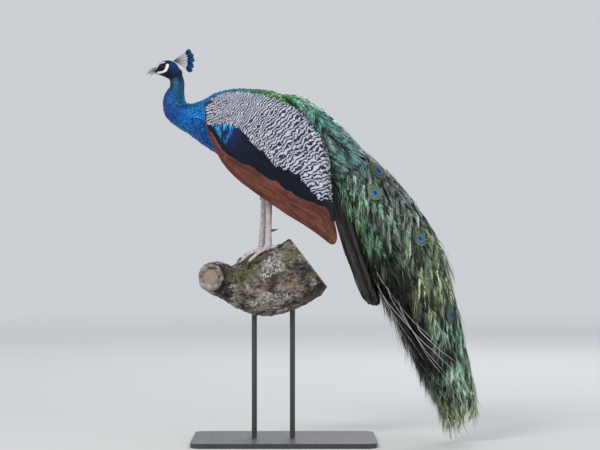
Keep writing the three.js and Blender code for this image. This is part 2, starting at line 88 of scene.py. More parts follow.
def unit(vectors):
    """The vectors at length one."""
    length = np.linalg.norm(vectors, axis=-1, keepdims=True)
    return vectors / np.maximum(length, 1e-12)


def ease(low, high, value):
    """A smooth step from 0 at low to 1 at high."""
    share = np.clip((value - low) / (high - low), 0.0, 1.0)
    return share * share * (3.0 - 2.0 * share)


def flat(vectors, normals):
    """The part of each vector that lies along the surface, at length one."""
    return unit(vectors - normals * np.sum(vectors * normals, axis=-1, keepdims=True))


def points_of(mesh):
    """The vertices' places, one row each."""
    values = np.empty(len(mesh.vertices) * 3, np.float32)
    mesh.vertices.foreach_get("co", values)
    return values.reshape(-1, 3).astype(float)


def normals_of(mesh):
    """The vertices' normals, one row each."""
    values = np.empty(len(mesh.vertices) * 3, np.float32)
    mesh.vertex_normals.foreach_get("vector", values)
    return values.reshape(-1, 3).astype(float)


def edges_of(mesh):
    """The two vertices of each edge."""
    values = np.empty(len(mesh.edges) * 2, np.int32)
    mesh.edges.foreach_get("vertices", values)
    return values.reshape(-1, 2)


def triangles_of(mesh):
    """The three vertices of each triangle."""
    mesh.calc_loop_triangles()
    values = np.empty(len(mesh.loop_triangles) * 3, np.int32)
    mesh.loop_triangles.foreach_get("vertices", values)
    return values.reshape(-1, 3)


def put_points(mesh, points):
    """Moves the vertices to the given places."""
    mesh.vertices.foreach_set("co", points.astype(np.float32).ravel())
    mesh.update()


def put_value(mesh, name, values):
    """Stores one number per vertex for the material to read."""
    layer = mesh.attributes.new(name, "FLOAT", "POINT")
    layer.data.foreach_set("value", np.asarray(values, np.float32).ravel())


def put_map(mesh, places):
    """Stores the bake map: one place on the map for each vertex."""
    corners = np.empty(len(mesh.loops), np.int32)
    mesh.loops.foreach_get("vertex_index", corners)
    layer = mesh.uv_layers.new(name="OFBake")
    layer.data.foreach_set("uv", places[corners].astype(np.float32).ravel())


def shade_smooth(mesh):
    """Shades every face smooth."""
    mesh.polygons.foreach_set("use_smooth", np.ones(len(mesh.polygons), bool))


def mesh_from(name, points, quads):
    """A smooth-shaded mesh of four-cornered faces."""
    mesh = bpy.data.meshes.new(name)
    mesh.vertices.add(len(points))
    mesh.vertices.foreach_set("co", points.astype(np.float32).ravel())
    mesh.loops.add(quads.size)
    mesh.loops.foreach_set("vertex_index", quads.astype(np.int32).ravel())
    mesh.polygons.add(len(quads))
    mesh.polygons.foreach_set("loop_start", np.arange(0, quads.size, 4, dtype=np.int32))
    mesh.polygons.foreach_set("use_smooth", np.ones(len(quads), bool))
    mesh.update(calc_edges=True)
    return mesh


def tube_quads(rows, columns):
    """The faces of a tube: rings of vertices one after another, each joined to the next."""
    here = np.arange(columns)
    beside = (here + 1) % columns
    first = (np.arange(rows - 1) * columns)[:, None]
    after = first + columns
    return np.stack([first + here, after + here, after + beside, first + beside], -1).reshape(-1, 4)


def add_piece(name, mesh, material, nodes):
    """Puts a mesh in the scene as a piece that stands for the given CAD nodes."""
    piece = bpy.data.objects.new(name, mesh)
    bpy.context.scene.collection.objects.link(piece)
    mesh.materials.clear()
    mesh.materials.append(material)
    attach(piece, "root")
    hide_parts(*nodes)


def fused(name, nodes, voxel, grow=0.0005):
    """One closed mesh around copies of the given CAD nodes."""
    whole = bmesh.new()
    for node in nodes:
        part = bmesh.new()
        part.from_mesh(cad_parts[node].data)
        bmesh.ops.remove_doubles(part, verts=part.verts, dist=0.00002)
        bmesh.ops.recalc_face_normals(part, faces=part.faces)
        part.normal_update()
        for vertex in part.verts:
            vertex.co += vertex.normal * grow
        grown = bpy.data.meshes.new(name + "_part")
        part.to_mesh(grown)
        part.free()
        whole.from_mesh(grown)
        bpy.data.meshes.remove(grown)
    mesh = bpy.data.meshes.new(name)
    whole.to_mesh(mesh)
    whole.free()
    return remeshed(mesh, voxel)


def remeshed(mesh, voxel):
    """The mesh rebuilt from even quads of about the voxel's size."""
    holder = bpy.data.objects.new("holder", mesh)
    bpy.context.scene.collection.objects.link(holder)
    step = holder.modifiers.new("remesh", "REMESH")
    step.mode = "VOXEL"
    step.voxel_size = voxel
    step.use_smooth_shade = True
    depsgraph = bpy.context.evaluated_depsgraph_get()
    result = bpy.data.meshes.new_from_object(holder.evaluated_get(depsgraph))
    bpy.data.objects.remove(holder)
    result.name = mesh.name
    bpy.data.meshes.remove(mesh)
    return result


def neighbour_mean(values, edges):
    """For each vertex, the mean of its neighbours' values."""
    first, second = edges[:, 0], edges[:, 1]
    count = np.bincount(edges.ravel(), minlength=len(values)).astype(float)
    columns = []
    for column in np.atleast_2d(values.T):
        total = np.bincount(first, column[second], len(values))
        total += np.bincount(second, column[first], len(values))
        columns.append(total / np.maximum(count, 1.0))
    return np.array(columns).T.reshape(values.shape)


def relaxed(points, edges, rounds, weight=1.0, keep_size=True):
    """Smooths the points along the edges; keep_size follows each shrinking step by a growing one."""
    weight = np.broadcast_to(np.asarray(weight, float).reshape(-1, 1), (len(points), 1))
    for _ in range(rounds):
        points = points + (neighbour_mean(points, edges) - points) * 0.5 * weight
        if keep_size:
            points = points - (neighbour_mean(points, edges) - points) * 0.52 * weight
    return points


def cad_points(node):
    """The vertices of a CAD node."""
    return points_of(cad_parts[node].data)


def tree_of(mesh):
    """A search tree for rays and nearest places."""
    return BVHTree.FromPolygons(points_of(mesh).tolist(), triangles_of(mesh).tolist())


def nearest(tree, places):
    """The nearest place on a surface, and the surface's normal there."""
    found = np.empty((len(places), 3))
    normals = np.empty((len(places), 3))
    for index, place in enumerate(places.tolist()):
        hit, normal, _, _ = tree.find_nearest(place)
        found[index] = hit
        normals[index] = normal
    return found, normals


# ---------------------------------------------------------------- courses: lines through the body

def spline(knots, steps):
    """A Catmull-Rom line through the knots."""
    knots = np.asarray(knots, float)
    ends = np.vstack([2 * knots[0] - knots[1], knots, 2 * knots[-1] - knots[-2]])
    line = []
    for index in range(1, len(ends) - 2):
        before, start, stop, after = ends[index - 1:index + 3]
        share = np.linspace(0.0, 1.0, steps, endpoint=False)[:, None]
        curve = 2 * start + (stop - before) * share
        curve = curve + (2 * before - 5 * start + 4 * stop - after) * share ** 2
        curve = curve + (3 * start - before - 3 * stop + after) * share ** 3
        line.append(curve / 2)
    line.append(knots[-1:])
    return np.vstack(line)


class Course:
    """An evenly stepped line, with its direction and the distance travelled along it."""

    def __init__(self, knots, steps=200):
        dense = spline(knots, 40)
        gone = np.concatenate([[0.0], np.cumsum(np.linalg.norm(np.diff(dense, axis=0), axis=1))])
        self.travel = np.linspace(0.0, gone[-1], steps)
        self.points = np.stack([np.interp(self.travel, gone, dense[:, k]) for k in range(3)], 1)
        self.tangents = unit(np.gradient(self.points, axis=0))
        self.length = gone[-1]

    def at(self, travel):
        """The points and directions at the given distances, straight on past the ends."""
        inside = np.clip(travel, 0.0, self.length)
        places = np.stack([np.interp(inside, self.travel, self.points[:, k]) for k in range(3)], -1)
        heads = np.stack([np.interp(inside, self.travel, self.tangents[:, k]) for k in range(3)], -1)
        heads = unit(heads)
        return places + heads * (travel - inside)[..., None], heads

    def beside(self, places):
        """For each place, the distance travelled at the nearest point of the line, and that point."""
        travel = np.empty(len(places))
        for start in range(0, len(places), 8000):
            block = places[start:start + 8000]
            gaps = np.sum((block[:, None] - self.points[None]) ** 2, axis=2)
            travel[start:start + 8000] = self.travel[np.argmin(gaps, axis=1)]
        near, heads = self.at(travel)
        along = np.sum((places - near) * heads, axis=1)
        step = self.travel[1]
        travel = np.clip(travel + np.clip(along, -step, step), 0.0, self.length)
        near, heads = self.at(travel)
        return travel, near, heads


def meeting(first, second):
    """The middle of the face where two neighbouring nodes meet."""
    a = cad_points(first)
    b = cad_points(second)
    gaps = np.sqrt(np.min(np.sum((a[:, None] - b[None]) ** 2, axis=2), axis=1))
    return a[gaps < gaps.min() + 0.0025].mean(axis=0)


def run_course(run, start, stop):
    """A course through a run of neighbouring nodes."""
    knots = [start]
    for index, node in enumerate(run):
        if index:
            knots.append(meeting(run[index - 1], node))
        if 0 < index < len(run) - 1:
            low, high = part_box(node)
            middle = cad_points(node).mean(axis=0)
            knots.append(middle if (high - low).length > 0.1 else (knots[-1] + middle) / 2)
    knots.append(stop)
    knots = np.array(knots)
    knots[:, 1] = 0.0
    return knots


# ---------------------------------------------------------------- paints

def colour_socket(sockets, name):
    """The colour socket of that name: a Mix node has one of each kind."""
    return [socket for socket in sockets if socket.name == name and socket.type == "RGBA"][0]


class Paint:
    """One procedural material, built node by node."""

    def __init__(self, name, **sockets):
        self.material = bpy.data.materials.new(name)
        self.material.use_nodes = True
        self.nodes = self.material.node_tree.nodes
        self.links = self.material.node_tree.links
        self.shader = self.nodes["Principled BSDF"]
        self.where = self.nodes.new("ShaderNodeTexCoord").outputs["Object"]
        for socket, value in sockets.items():
            self.shader.inputs[socket.replace("_", " ")].default_value = value

    def join(self, source, socket):
        """Links an output to a socket, or sets the socket if it is given a plain value."""
        if isinstance(source, bpy.types.NodeSocket):
            self.links.new(source, socket)
        else:
            socket.default_value = source

    def value(self, name):
        """A number stored on the mesh."""
        node = self.nodes.new("ShaderNodeAttribute")
        node.attribute_name = name
        return node.outputs["Fac"]

    def math(self, operation, first, second=0.0, third=0.0):
        """The result of a Math node."""
        node = self.nodes.new("ShaderNodeMath")
        node.operation = operation
        self.join(first, node.inputs[0])
        self.join(second, node.inputs[1])
        self.join(third, node.inputs[2])
        return node.outputs[0]

    def times(self, first, second):
        return self.math("MULTIPLY", first, second)

    def plus(self, first, second):
        return self.math("ADD", first, second)

    def minus(self, first, second):
        return self.math("SUBTRACT", first, second)

    def scaled(self, value, by, more):
        """The value times one number, plus another."""
        return self.math("MULTIPLY_ADD", value, by, more)

    def size(self, value):
        return self.math("ABSOLUTE", value)

    def sine(self, value):
        return self.math("SINE", value)

    def noise(self, scale, detail=3.0, rough=0.55, stretch=None):
        """A cloudy value from 0 to 1; scale is in waves per metre."""
        node = self.nodes.new("ShaderNodeTexNoise")
        node.inputs["Scale"].default_value = scale
        node.inputs["Detail"].default_value = detail
        node.inputs["Roughness"].default_value = rough
        place = self.where
        if stretch:
            warp = self.nodes.new("ShaderNodeMapping")
            warp.inputs["Scale"].default_value = stretch
            self.join(place, warp.inputs["Vector"])
            place = warp.outputs["Vector"]
        self.join(place, node.inputs["Vector"])
        return node.outputs["Fac"]

    def cells(self, scale):
        """Distance within small cells; scale is in cells per metre."""
        node = self.nodes.new("ShaderNodeTexVoronoi")
        node.inputs["Scale"].default_value = scale
        self.join(self.where, node.inputs["Vector"])
        return node.outputs["Distance"]

    def ramp(self, factor, stops):
        """A colour from a list of (place, (red, green, blue)) stops."""
        node = self.nodes.new("ShaderNodeValToRGB")
        bar = node.color_ramp
        bar.interpolation = "LINEAR"
        while len(bar.elements) < len(stops):
            bar.elements.new(1.0)
        for element, (place, colour) in zip(bar.elements, stops):
            element.position = place
            element.color = (*colour, 1.0)
        self.join(factor, node.inputs["Fac"])
        return node.outputs["Color"]

    def spread(self, factor, low, high, start=0.0, stop=1.0):
        """Maps a value between low and high onto start to stop, held at both ends."""
        node = self.nodes.new("ShaderNodeMapRange")
        node.interpolation_type = "SMOOTHSTEP"
        self.join(factor, node.inputs["Value"])
        node.inputs["From Min"].default_value = low
        node.inputs["From Max"].default_value = high
        node.inputs["To Min"].default_value = start
        node.inputs["To Max"].default_value = stop
        return node.outputs["Result"]

    def mix(self, factor, first, second):
        """Mixes two colours; a plain colour is given as (red, green, blue)."""
        node = self.nodes.new("ShaderNodeMix")
        node.data_type = "RGBA"
        self.join(factor, node.inputs[0])
        for source, name in ((first, "A"), (second, "B")):
            if isinstance(source, tuple):
                source = (*source, 1.0)
            self.join(source, colour_socket(node.inputs, name))
        return colour_socket(node.outputs, "Result")

    def shade(self, colour, amount):
        """The colour made lighter or darker by a factor."""
        node = self.nodes.new("ShaderNodeHueSaturation")
        self.join(colour, node.inputs["Color"])
        self.join(amount, node.inputs["Value"])
        return node.outputs["Color"]

    def vary(self, colour, darkest, lightest):
        """The colour with each feather's own lightness."""
        return self.shade(colour, self.spread(self.value("chance"), 0.0, 1.0, darkest, lightest))

    def rimmed(self, colour, start, amount, rim):
        """The colour with both of a feather's edges tinted, from the given share of its half width."""
        edge = self.size(self.value("across"))
        return self.mix(self.spread(edge, start, 1.0, 0.0, amount), colour, rim)

    def barbs(self, across, lean, waves):
        """Waves that slant back from the shaft, like a feather's barbs."""
        return self.sine(self.scaled(self.size(across), -lean, self.times(self.value("along"), waves)))

    def colour(self, colour):
        """Sets the shader's base colour."""
        self.join(colour, self.shader.inputs["Base Color"])

    def rough(self, amount):
        """Sets the shader's roughness."""
        self.join(amount, self.shader.inputs["Roughness"])

    def bump(self, height, strength, depth):
        """Raises and sinks the surface by a height; depth is in metres."""
        node = self.nodes.new("ShaderNodeBump")
        node.inputs["Strength"].default_value = strength
        node.inputs["Distance"].default_value = depth
        self.join(height, node.inputs["Height"])
        self.join(node.outputs["Normal"], self.shader.inputs["Normal"])


# ---------------------------------------------------------------- camera, light and floor

# The photograph's framing against the model's box: how many times wider it is, and how far along the box and
# up it the photograph's middle lies.
FRAME_WIDTH = 1.815
FRAME_MIDDLE = (0.4665, 0.549)


def place_camera():
    """A level camera square to the bird's left side, at the photograph's framing."""
    low, high = CAD_BOX
    wide = (high.x - low.x) * FRAME_WIDTH
    along, up = FRAME_MIDDLE
    away = 5.5
    camera = bpy.data.cameras.new("camera")
    camera.sensor_width = 36.0
    camera.lens = 36.0 * away / wide
    camera.clip_end = 100.0
    holder = bpy.data.objects.new("camera", camera)
    holder.location = (low.x + (high.x - low.x) * along, -away, (high.z - low.z) * up)
    holder.rotation_euler = (math.radians(90.0), 0.0, 0.0)
    bpy.context.scene.collection.objects.link(holder)
    bpy.context.scene.camera = holder


def add_light(name, place, target, size, power, colour):
    """A round soft light aimed at a target."""
    light = bpy.data.lights.new(name, "AREA")
    light.shape = "DISK"
    light.size = size
    light.energy = power
    light.color = colour
    holder = bpy.data.objects.new(name, light)
    holder.location = place
    aim = Vector(target) - Vector(place)
    holder.rotation_euler = aim.to_track_quat("-Z", "Y").to_euler()
    bpy.context.scene.collection.objects.link(holder)


def light_scene():
    """Soft studio light: a high key from the camera's left, a fill and a light from behind."""
    middle = (0.05, 0.0, 0.55)
    add_light("key", (-2.2, -3.4, 3.6), middle, 1.6, 120.0, (1.0, 0.98, 0.95))
    add_light("fill", (3.6, -3.0, 1.6), middle, 2.6, 30.0, (0.95, 0.98, 1.0))
    add_light("rim", (1.2, 3.4, 3.2), middle, 2.4, 60.0, (1.0, 1.0, 1.0))
    world = bpy.data.worlds.new("studio")
    world.use_nodes = True
    world.node_tree.nodes["Background"].inputs["Color"].default_value = (0.86, 0.9, 0.95, 1.0)
    world.node_tree.nodes["Background"].inputs["Strength"].default_value = 0.8
    bpy.context.scene.world = world
    bpy.context.scene.view_settings.view_transform = "Standard"


def turned(name, radii, heights):
    """A surface of revolution about the Z axis, from its profile."""
    count = 96
    turns = np.linspace(0.0, 2.0 * np.pi, count, endpoint=False)
    points = np.stack([
        radii[:, None] * np.cos(turns),
        radii[:, None] * np.sin(turns),
        np.repeat(heights[:, None], count, axis=1),
    ], -1).reshape(-1, 3)
    return mesh_from(name, points, tube_quads(len(radii), count))


# How far the level floor reaches, and the radius of the backdrop's bend.
FLOOR_REACH = 9.0
BACKDROP_BEND = 6.0


def studio_floor():
    """A pale floor, and a backdrop that curves up from it and doesn't block the light."""
    paint = Paint("floor_paint", Roughness=0.8, Specular_IOR_Level=0.1)
    tone = paint.scaled(paint.noise(1.5, 3.0), 0.06, paint.value("far"))
    paint.colour(paint.ramp(tone, [
        (0.0, (0.58, 0.58, 0.575)),
        (0.5, (0.66, 0.66, 0.66)),
        (1.0, (0.84, 0.84, 0.84)),
    ]))
    bend = np.linspace(0.0, 1.5, 14)
    flats = turned("floor", np.linspace(0.02, FLOOR_REACH, 28), np.full(28, -0.0005))
    reach = np.append(FLOOR_REACH + BACKDROP_BEND * np.sin(bend), 15.2)
    height = np.append(BACKDROP_BEND - BACKDROP_BEND * np.cos(bend), 16.0)
    wall = turned("backdrop", reach, height - 0.0005)
    for mesh in (flats, wall):
        places = points_of(mesh)
        put_value(mesh, "far", ease(1.0, FLOOR_REACH, np.hypot(places[:, 0], places[:, 1])))
        mesh.materials.append(paint.material)
        holder = bpy.data.objects.new(mesh.name, mesh)
        bpy.context.scene.collection.objects.link(holder)
    holder.visible_diffuse = False
    holder.visible_glossy = False
    holder.visible_shadow = False


def paint_stand():
    """Satin charcoal paint with faint roller texture on the stand's own solids."""
    paint = Paint("stand_paint", Roughness=0.42, Coat_Weight=0.15, Coat_Roughness=0.3)
    cloud = paint.noise(18.0, 4.0)
    paint.colour(paint.ramp(cloud, [(0.3, (0.03, 0.03, 0.032)), (0.7, (0.046, 0.045, 0.044))]))
    paint.rough(paint.spread(paint.noise(90.0), 0.3, 0.7, 0.36, 0.5))
    paint.bump(paint.noise(900.0, 2.0), 0.12, 0.0004)
    for name in ("stand_base", "stand_rod_1", "stand_rod_2"):
        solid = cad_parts[name]
        solid.data.materials.clear()
        solid.data.materials.append(paint.material)


# ---------------------------------------------------------------- the skin

def nearest_node(places, nodes):
    """For each place, the index of the CAD node with the nearest vertex."""
    total = sum(len(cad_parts[node].data.vertices) for node in nodes)
    finder = kdtree.KDTree(total)
    owners = []
    for index, node in enumerate(nodes):
        for point in cad_points(node).tolist():
            finder.insert(point, len(owners))
            owners.append(index)
    finder.balance()
    return np.array([owners[finder.find(place)[1]] for place in places.tolist()])


# How deep the coat lies over each part.
COAT_DEPTHS = {
    "head": 0.0016, "neck_upper": 0.003, "neck_lower": 0.0042, "breast": 0.006,
    "trunk_front": 0.007, "trunk_rear": 0.008, "rump": 0.008,
    "thigh": 0.006, "shank": 0.0004, "foot": 0.0004,
}


def coat_depth(owner, nodes):
    """How deep the coat lies over each vertex, from the node that owns it."""
    table = [COAT_DEPTHS[node.rsplit("_", 1)[0] if node in LEG_RUN else node] for node in nodes]
    return np.array(table)[owner]


def refined(mesh, chosen):
    """The mesh with the faces around the chosen vertices cut in four."""
    fine = bmesh.new()
    fine.from_mesh(mesh)
    fine.verts.ensure_lookup_table()
    edges = [edge for edge in fine.edges if all(chosen[vertex.index] for vertex in edge.verts)]
    bmesh.ops.subdivide_edges(fine, edges=edges, cuts=1, use_grid_fill=True)
    fine.to_mesh(mesh)
    fine.free()
    mesh.update()


def eye_frame(side):
    """The eye's centre, its radius, and its outward, upward and forward directions."""
    low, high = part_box(f"eye_{side}")
    centre = np.array((low + high) / 2)
    radius = (high.z - low.z) / 2
    outward = unit(np.array([-0.22, SIDES[side], 0.06]))
    forward = flat(np.array([-1.0, 0.0, -0.1]), outward)
    upward = np.cross(forward, outward) * -SIDES[side]
    return centre, radius, outward, upward, forward


def sculpt_eye(points, side):
    """Opens the skin over the eye, with a lid ring, a crease round it and a low brow."""
    centre, radius, outward, upward, forward = eye_frame(side)
    offset = points - centre
    height = offset @ outward
    ahead = offset @ forward
    above = offset @ upward
    gap = np.hypot(ahead / 1.08, above)
    opening = radius * 0.8
    ball = np.sqrt(np.maximum(radius ** 2 - np.minimum(gap, radius) ** 2, 0.0))
    lid = ball + 0.0009 - 0.6 * np.maximum(gap - radius, 0.0)
    ring = 0.0007 * np.exp(-((gap - opening - 0.0006) / 0.0007) ** 2)
    crease = -0.0006 * np.exp(-((gap - opening - 0.003) / 0.0008) ** 2)
    brow = 0.0012 * np.exp(-((above - 0.0075) / 0.0022) ** 2 - (ahead / 0.008) ** 2)
    over = (1.0 - ease(radius * 1.0, radius * 1.9, gap)) * (height > -0.002)
    risen = height * (1.0 - over) + np.maximum(height, lid) * over
    risen = risen + (ring + crease) * (height > 0.0) + brow * (height > 0.0)
    sunk = ball - 0.0016
    inside = (1.0 - ease(opening - 0.0004, opening + 0.0003, gap)) * (height > -0.002)
    wanted = risen * (1.0 - inside) + np.minimum(height, sunk) * inside
    return points + outward * (wanted - height)[:, None]


def on_lower_leg(owner, nodes):
    """Which vertices belong to a shank or a foot."""
    return np.isin(owner, [index for index, node in enumerate(nodes) if node.startswith(("shank", "foot"))])


def on_trunk(points, owner):
    """Which vertices lie behind the face and above the shanks."""
    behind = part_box("eye_left")[1].x + 0.03
    neck_lower, thigh_right = 2, len(BODY_RUN) + 1
    rear = (owner <= 1) & (points[:, 0] > behind)
    return rear | (owner >= neck_lower) & (owner <= thigh_right)


def flesh():
    """The solids of flesh in one mesh, finer on head and legs, with the number of each vertex's node."""
    nodes = BODY_RUN + LEG_RUN
    mesh = fused("skin", nodes, VOXELS["skin"])
    owner = nearest_node(points_of(mesh), nodes)
    refined(mesh, (owner == 0) | on_lower_leg(owner, nodes))
    owner = nearest_node(points_of(mesh), nodes)
    refined(mesh, owner == 0)
    return mesh, nearest_node(points_of(mesh), nodes), nodes


def spread_out(chosen, edges, rounds):
    """A weight that is 1 at the chosen vertices and fades out around them."""
    return relaxed(chosen.astype(float)[:, None], edges, rounds, keep_size=False)[:, 0]


def make_skin():
    """One skin for the head, neck, trunk and legs, inside the CAD solids by the coat's depth."""
    mesh, owner, nodes = flesh()
    edges = edges_of(mesh)
    points = points_of(mesh)
    points = relaxed(points, edges, 40, spread_out(on_trunk(points, owner), edges, 12))
    points = relaxed(points, edges, 6, 0.9)
    put_points(mesh, points)
    depth = relaxed(coat_depth(owner, nodes)[:, None], edges, 30, keep_size=False)
    points = points - normals_of(mesh) * depth
    low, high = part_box("head")
    nape = np.array([high.x - 0.007, 0.0, low.z + 0.018])
    near = np.exp(-(np.linalg.norm(points - nape, axis=1) / 0.018) ** 2)
    points = relaxed(points, edges, 30, near, keep_size=False)
    for side in SIDES:
        points = sculpt_eye(points, side)
    put_points(mesh, points)
    put_value(mesh, "leg", spread_out(on_lower_leg(owner, nodes), edges, 3))
    shade_smooth(mesh)
    return mesh, points, owner, nodes


# ---------------------------------------------------------------- vanes: the feathers' own shapes

def grid_quads(count, rows, columns):
    """The faces of count separate grids of rows by columns vertices."""
    place = np.arange(rows * columns).reshape(rows, columns)
    one = np.stack([place[:-1, :-1], place[:-1, 1:], place[1:, 1:], place[1:, :-1]], -1)
    step = np.arange(count)[:, None, None] * rows * columns
    return (one.reshape(1, -1, 4) + step).reshape(-1, 4)


def vane_outline(steps, widest=0.62, root=0.4, tip=0.1):
    """Half width along a feather: a narrow root, a broad middle and a rounded tip."""
    before = root + (1.0 - root) * np.sin(np.pi / 2 * np.clip(steps / widest, 0.0, 1.0))
    late = np.clip((steps - widest) / (1.0 - widest), 0.0, 1.0)
    after = tip + (1.0 - tip) * np.sqrt(1.0 - late ** 2)
    return np.where(steps < widest, before, after)


class Vanes:
    """A batch of like feathers, as one grid of vertices per feather."""

    def __init__(self, lines, normals, width, steps, columns, outline, rise, camber, skew=None):
        heads = unit(np.gradient(lines, axis=1))
        sides = unit(np.cross(heads, normals))
        across = np.linspace(-1.0, 1.0, columns)
        half = width[:, None, None] * outline[None, :, None] * 0.5
        lift = rise[:, :, None] - camber[:, None, None] * (across ** 2) * outline[None, :, None]
        if skew is not None:
            lift = lift + skew[:, None, None] * across * outline[None, :, None]
        offset = sides[:, :, None] * (half * across)[..., None]
        self.grid = lines[:, :, None] + offset + normals[:, :, None] * lift[..., None]
        self.count, self.rows, self.columns = self.grid.shape[:3]
        self.values = {}
        self.tell("along", steps[None, :, None])
        self.tell("across", across[None, None, :])
        self.places = None

    def tell(self, name, values):
        """Stores a number per feather, row or vertex."""
        shape = (self.count, self.rows, self.columns)
        self.values[name] = np.broadcast_to(values, shape).ravel()

    def tell_each(self, **values):
        """Stores one number per feather under each name."""
        for name, numbers in values.items():
            self.tell(name, np.asarray(numbers)[:, None, None])

    def map_at(self, across, along, patch):
        """Gives each feather a small patch of the bake map, at its root's place from 0 to 1."""
        over = np.linspace(-0.5, 0.5, self.columns) * patch
        down = np.linspace(-0.5, 0.5, self.rows) * patch
        spread = np.stack(np.broadcast_arrays(over[None, :], down[:, None]), -1)
        places = patch / 2 + np.stack(np.broadcast_arrays(across, along), 1) * (1.0 - patch)
        self.places = (places[:, None, None] + spread[None]).reshape(-1, 2)


def vanes_mesh(name, batches):
    """One mesh from several batches of feathers, with their stored numbers and their bake map."""
    quads = []
    start = 0
    for batch in batches:
        quads.append(grid_quads(batch.count, batch.rows, batch.columns) + start)
        start += batch.grid.size // 3
    mesh = mesh_from(name, np.vstack([batch.grid.reshape(-1, 3) for batch in batches]), np.vstack(quads))
    for value in batches[0].values:
        put_value(mesh, value, np.concatenate([batch.values[value] for batch in batches]))
    put_map(mesh, np.vstack([batch.places for batch in batches]))
    return mesh


def scattered(points, triangles, spacing, rng):
    """Random places on a surface that keep the given spacing from each other."""
    corners = points[triangles]
    spans = np.cross(corners[:, 1] - corners[:, 0], corners[:, 2] - corners[:, 0])
    area = np.linalg.norm(spans, axis=1) / 2
    picked = np.repeat(np.arange(len(area)), rng.poisson(area * 3.2 / spacing ** 2))
    rng.shuffle(picked)
    first = np.sqrt(rng.random(len(picked)))
    second = rng.random(len(picked))
    weights = np.stack([1.0 - first, first * (1.0 - second), first * second], 1)
    places = np.einsum("nk,nkj->nj", weights, corners[picked])
    cells = {}
    kept = []
    limit = spacing ** 2
    around = [(i, j, k) for i in (-1, 0, 1) for j in (-1, 0, 1) for k in (-1, 0, 1)]
    boxes = np.floor(places / spacing).astype(int).tolist()
    for index, (place, cell) in enumerate(zip(places.tolist(), boxes)):
        close = False
        for step in around:
            other = cells.get((cell[0] + step[0], cell[1] + step[1], cell[2] + step[2]))
            if other is None:
                continue
            for x, y, z in other:
                if (x - place[0]) ** 2 + (y - place[1]) ** 2 + (z - place[2]) ** 2 < limit:
                    close = True
                    break
            if close:
                break
        if not close:
            cells.setdefault(tuple(cell), []).append(place)
            kept.append(index)
    return places[kept]


def marched(tree, roots, flow, length, steps):
    """Lines that lie along a surface from their roots, each following the flow there."""
    here, normal = nearest(tree, roots)
    lines, normals = [here], [normal]
    head = flow(here, normal)
    for step in np.diff(steps):
        there = here + head * (length * step)[:, None]
        found, found_normal = nearest(tree, there)
        here, normal = found, unit(found_normal + normal * 0.5)
        lines.append(here)
        normals.append(normal)
        head = unit(flow(here, normal) * 0.6 + flat(head, normal) * 0.4)
    return np.stack(lines, 1), np.stack(normals, 1)


def flow_along(course):
    """The lie of feathers that follow a course."""
    def flow(here, normal):
        return flat(course.beside(here)[2], normal)

    return flow


# ---------------------------------------------------------------- body plumage

def body_course():
    """The line from the bill's base down the neck and back along the trunk."""
    low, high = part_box("head")
    start = (low.x + 0.002, 0.0, (low.z + high.z) / 2 - 0.004)
    low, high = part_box("rump")
    stop = (high.x, 0.0, low.z + (high.z - low.z) * 0.15)
    return Course(run_course(BODY_RUN, start, stop))


# How far down the body's course the face's marks may reach.
HEAD_END = 0.25


def body_place(course, places):
    """Where places lie on the body: share of the way back, dorsal factor from -1 to 1, and the lie."""
    travel, near, heads = course.beside(places)
    dorsal = np.sum(unit(places - near) * np.cross(heads, SIDEWAYS), axis=1)
    return travel / course.length, dorsal, heads


# Where a small feather's rows lie along it, by the number of rows.
COAT_STEPS = {3: [0, 0.6, 1.0], 4: [0, 0.4, 0.8, 1.0], 5: [0, 0.35, 0.68, 0.9, 1.0]}


class Coat:
    """Small body feathers over a part of the skin."""

    def __init__(self, course, skin_tree):
        self.course = course
        self.flow = flow_along(course)
        self.tree = skin_tree
        self.rng = draws("coat")

    def tips(self, roots, long):
        """Roughly where feathers of this length end."""
        return roots + self.flow(roots, nearest(self.tree, roots)[1]) * long

    def grow(self, roots, long, wide, rows, columns, rise):
        """A batch of feathers at the roots; long, wide and rise are in metres."""
        count = len(roots)
        rng = self.rng
        steps = np.array(COAT_STEPS[rows])
        length = long * rng.uniform(0.85, 1.15, count)
        turn = rng.normal(0.0, 0.1, count)

        def swayed(here, normal):
            head = self.flow(here, normal)
            return unit(head + np.cross(normal, head) * turn[:, None])

        lines, normals = marched(self.tree, roots, swayed, length, steps)
        height = rise * (1.0 + rng.normal(0.0, 0.22, count))
        lift = -0.0004 + height[:, None] * steps[None] ** 1.3
        width = wide * rng.uniform(0.9, 1.1, count)
        batch = Vanes(lines, normals, width, steps, columns, vane_outline(steps), lift,
                      width * 0.16, rng.normal(0.0, 1.0, count) * width * 0.06)
        share, dorsal, _ = body_place(self.course, roots)
        batch.tell_each(place=share, dorsal=dorsal, chance=rng.random(count))
        around = np.arctan2(roots[:, 1], dorsal * 0.05) / (2 * np.pi) + 0.5
        batch.map_at(around, share, 0.003)
        return batch


def triangles_where(triangles, chosen):
    """The triangles whose three vertices are all chosen."""
    return triangles[chosen[triangles].all(axis=1)]


# The face's markings in the side view, as lines of (millimetres ahead of the eye, millimetres above it): the
# bare patch below the eye, the one above it, and the black line through it.
FACE_BELOW = [(12.8, -13.8), (4.5, -13.2), (-2.4, -11.4), (-7.2, -7.6), (-10.2, -2.2), (-12.4, 5.4)]
FACE_ABOVE = [(21.0, -6.0), (15.5, 1.8), (9.5, 9.0), (4.0, 12.4), (-4.5, 13.4)]
FACE_LINE = [(21.0, -9.0), (9.0, -3.5), (0.0, 0.0), (-5.0, 6.0), (-10.0, 15.0)]


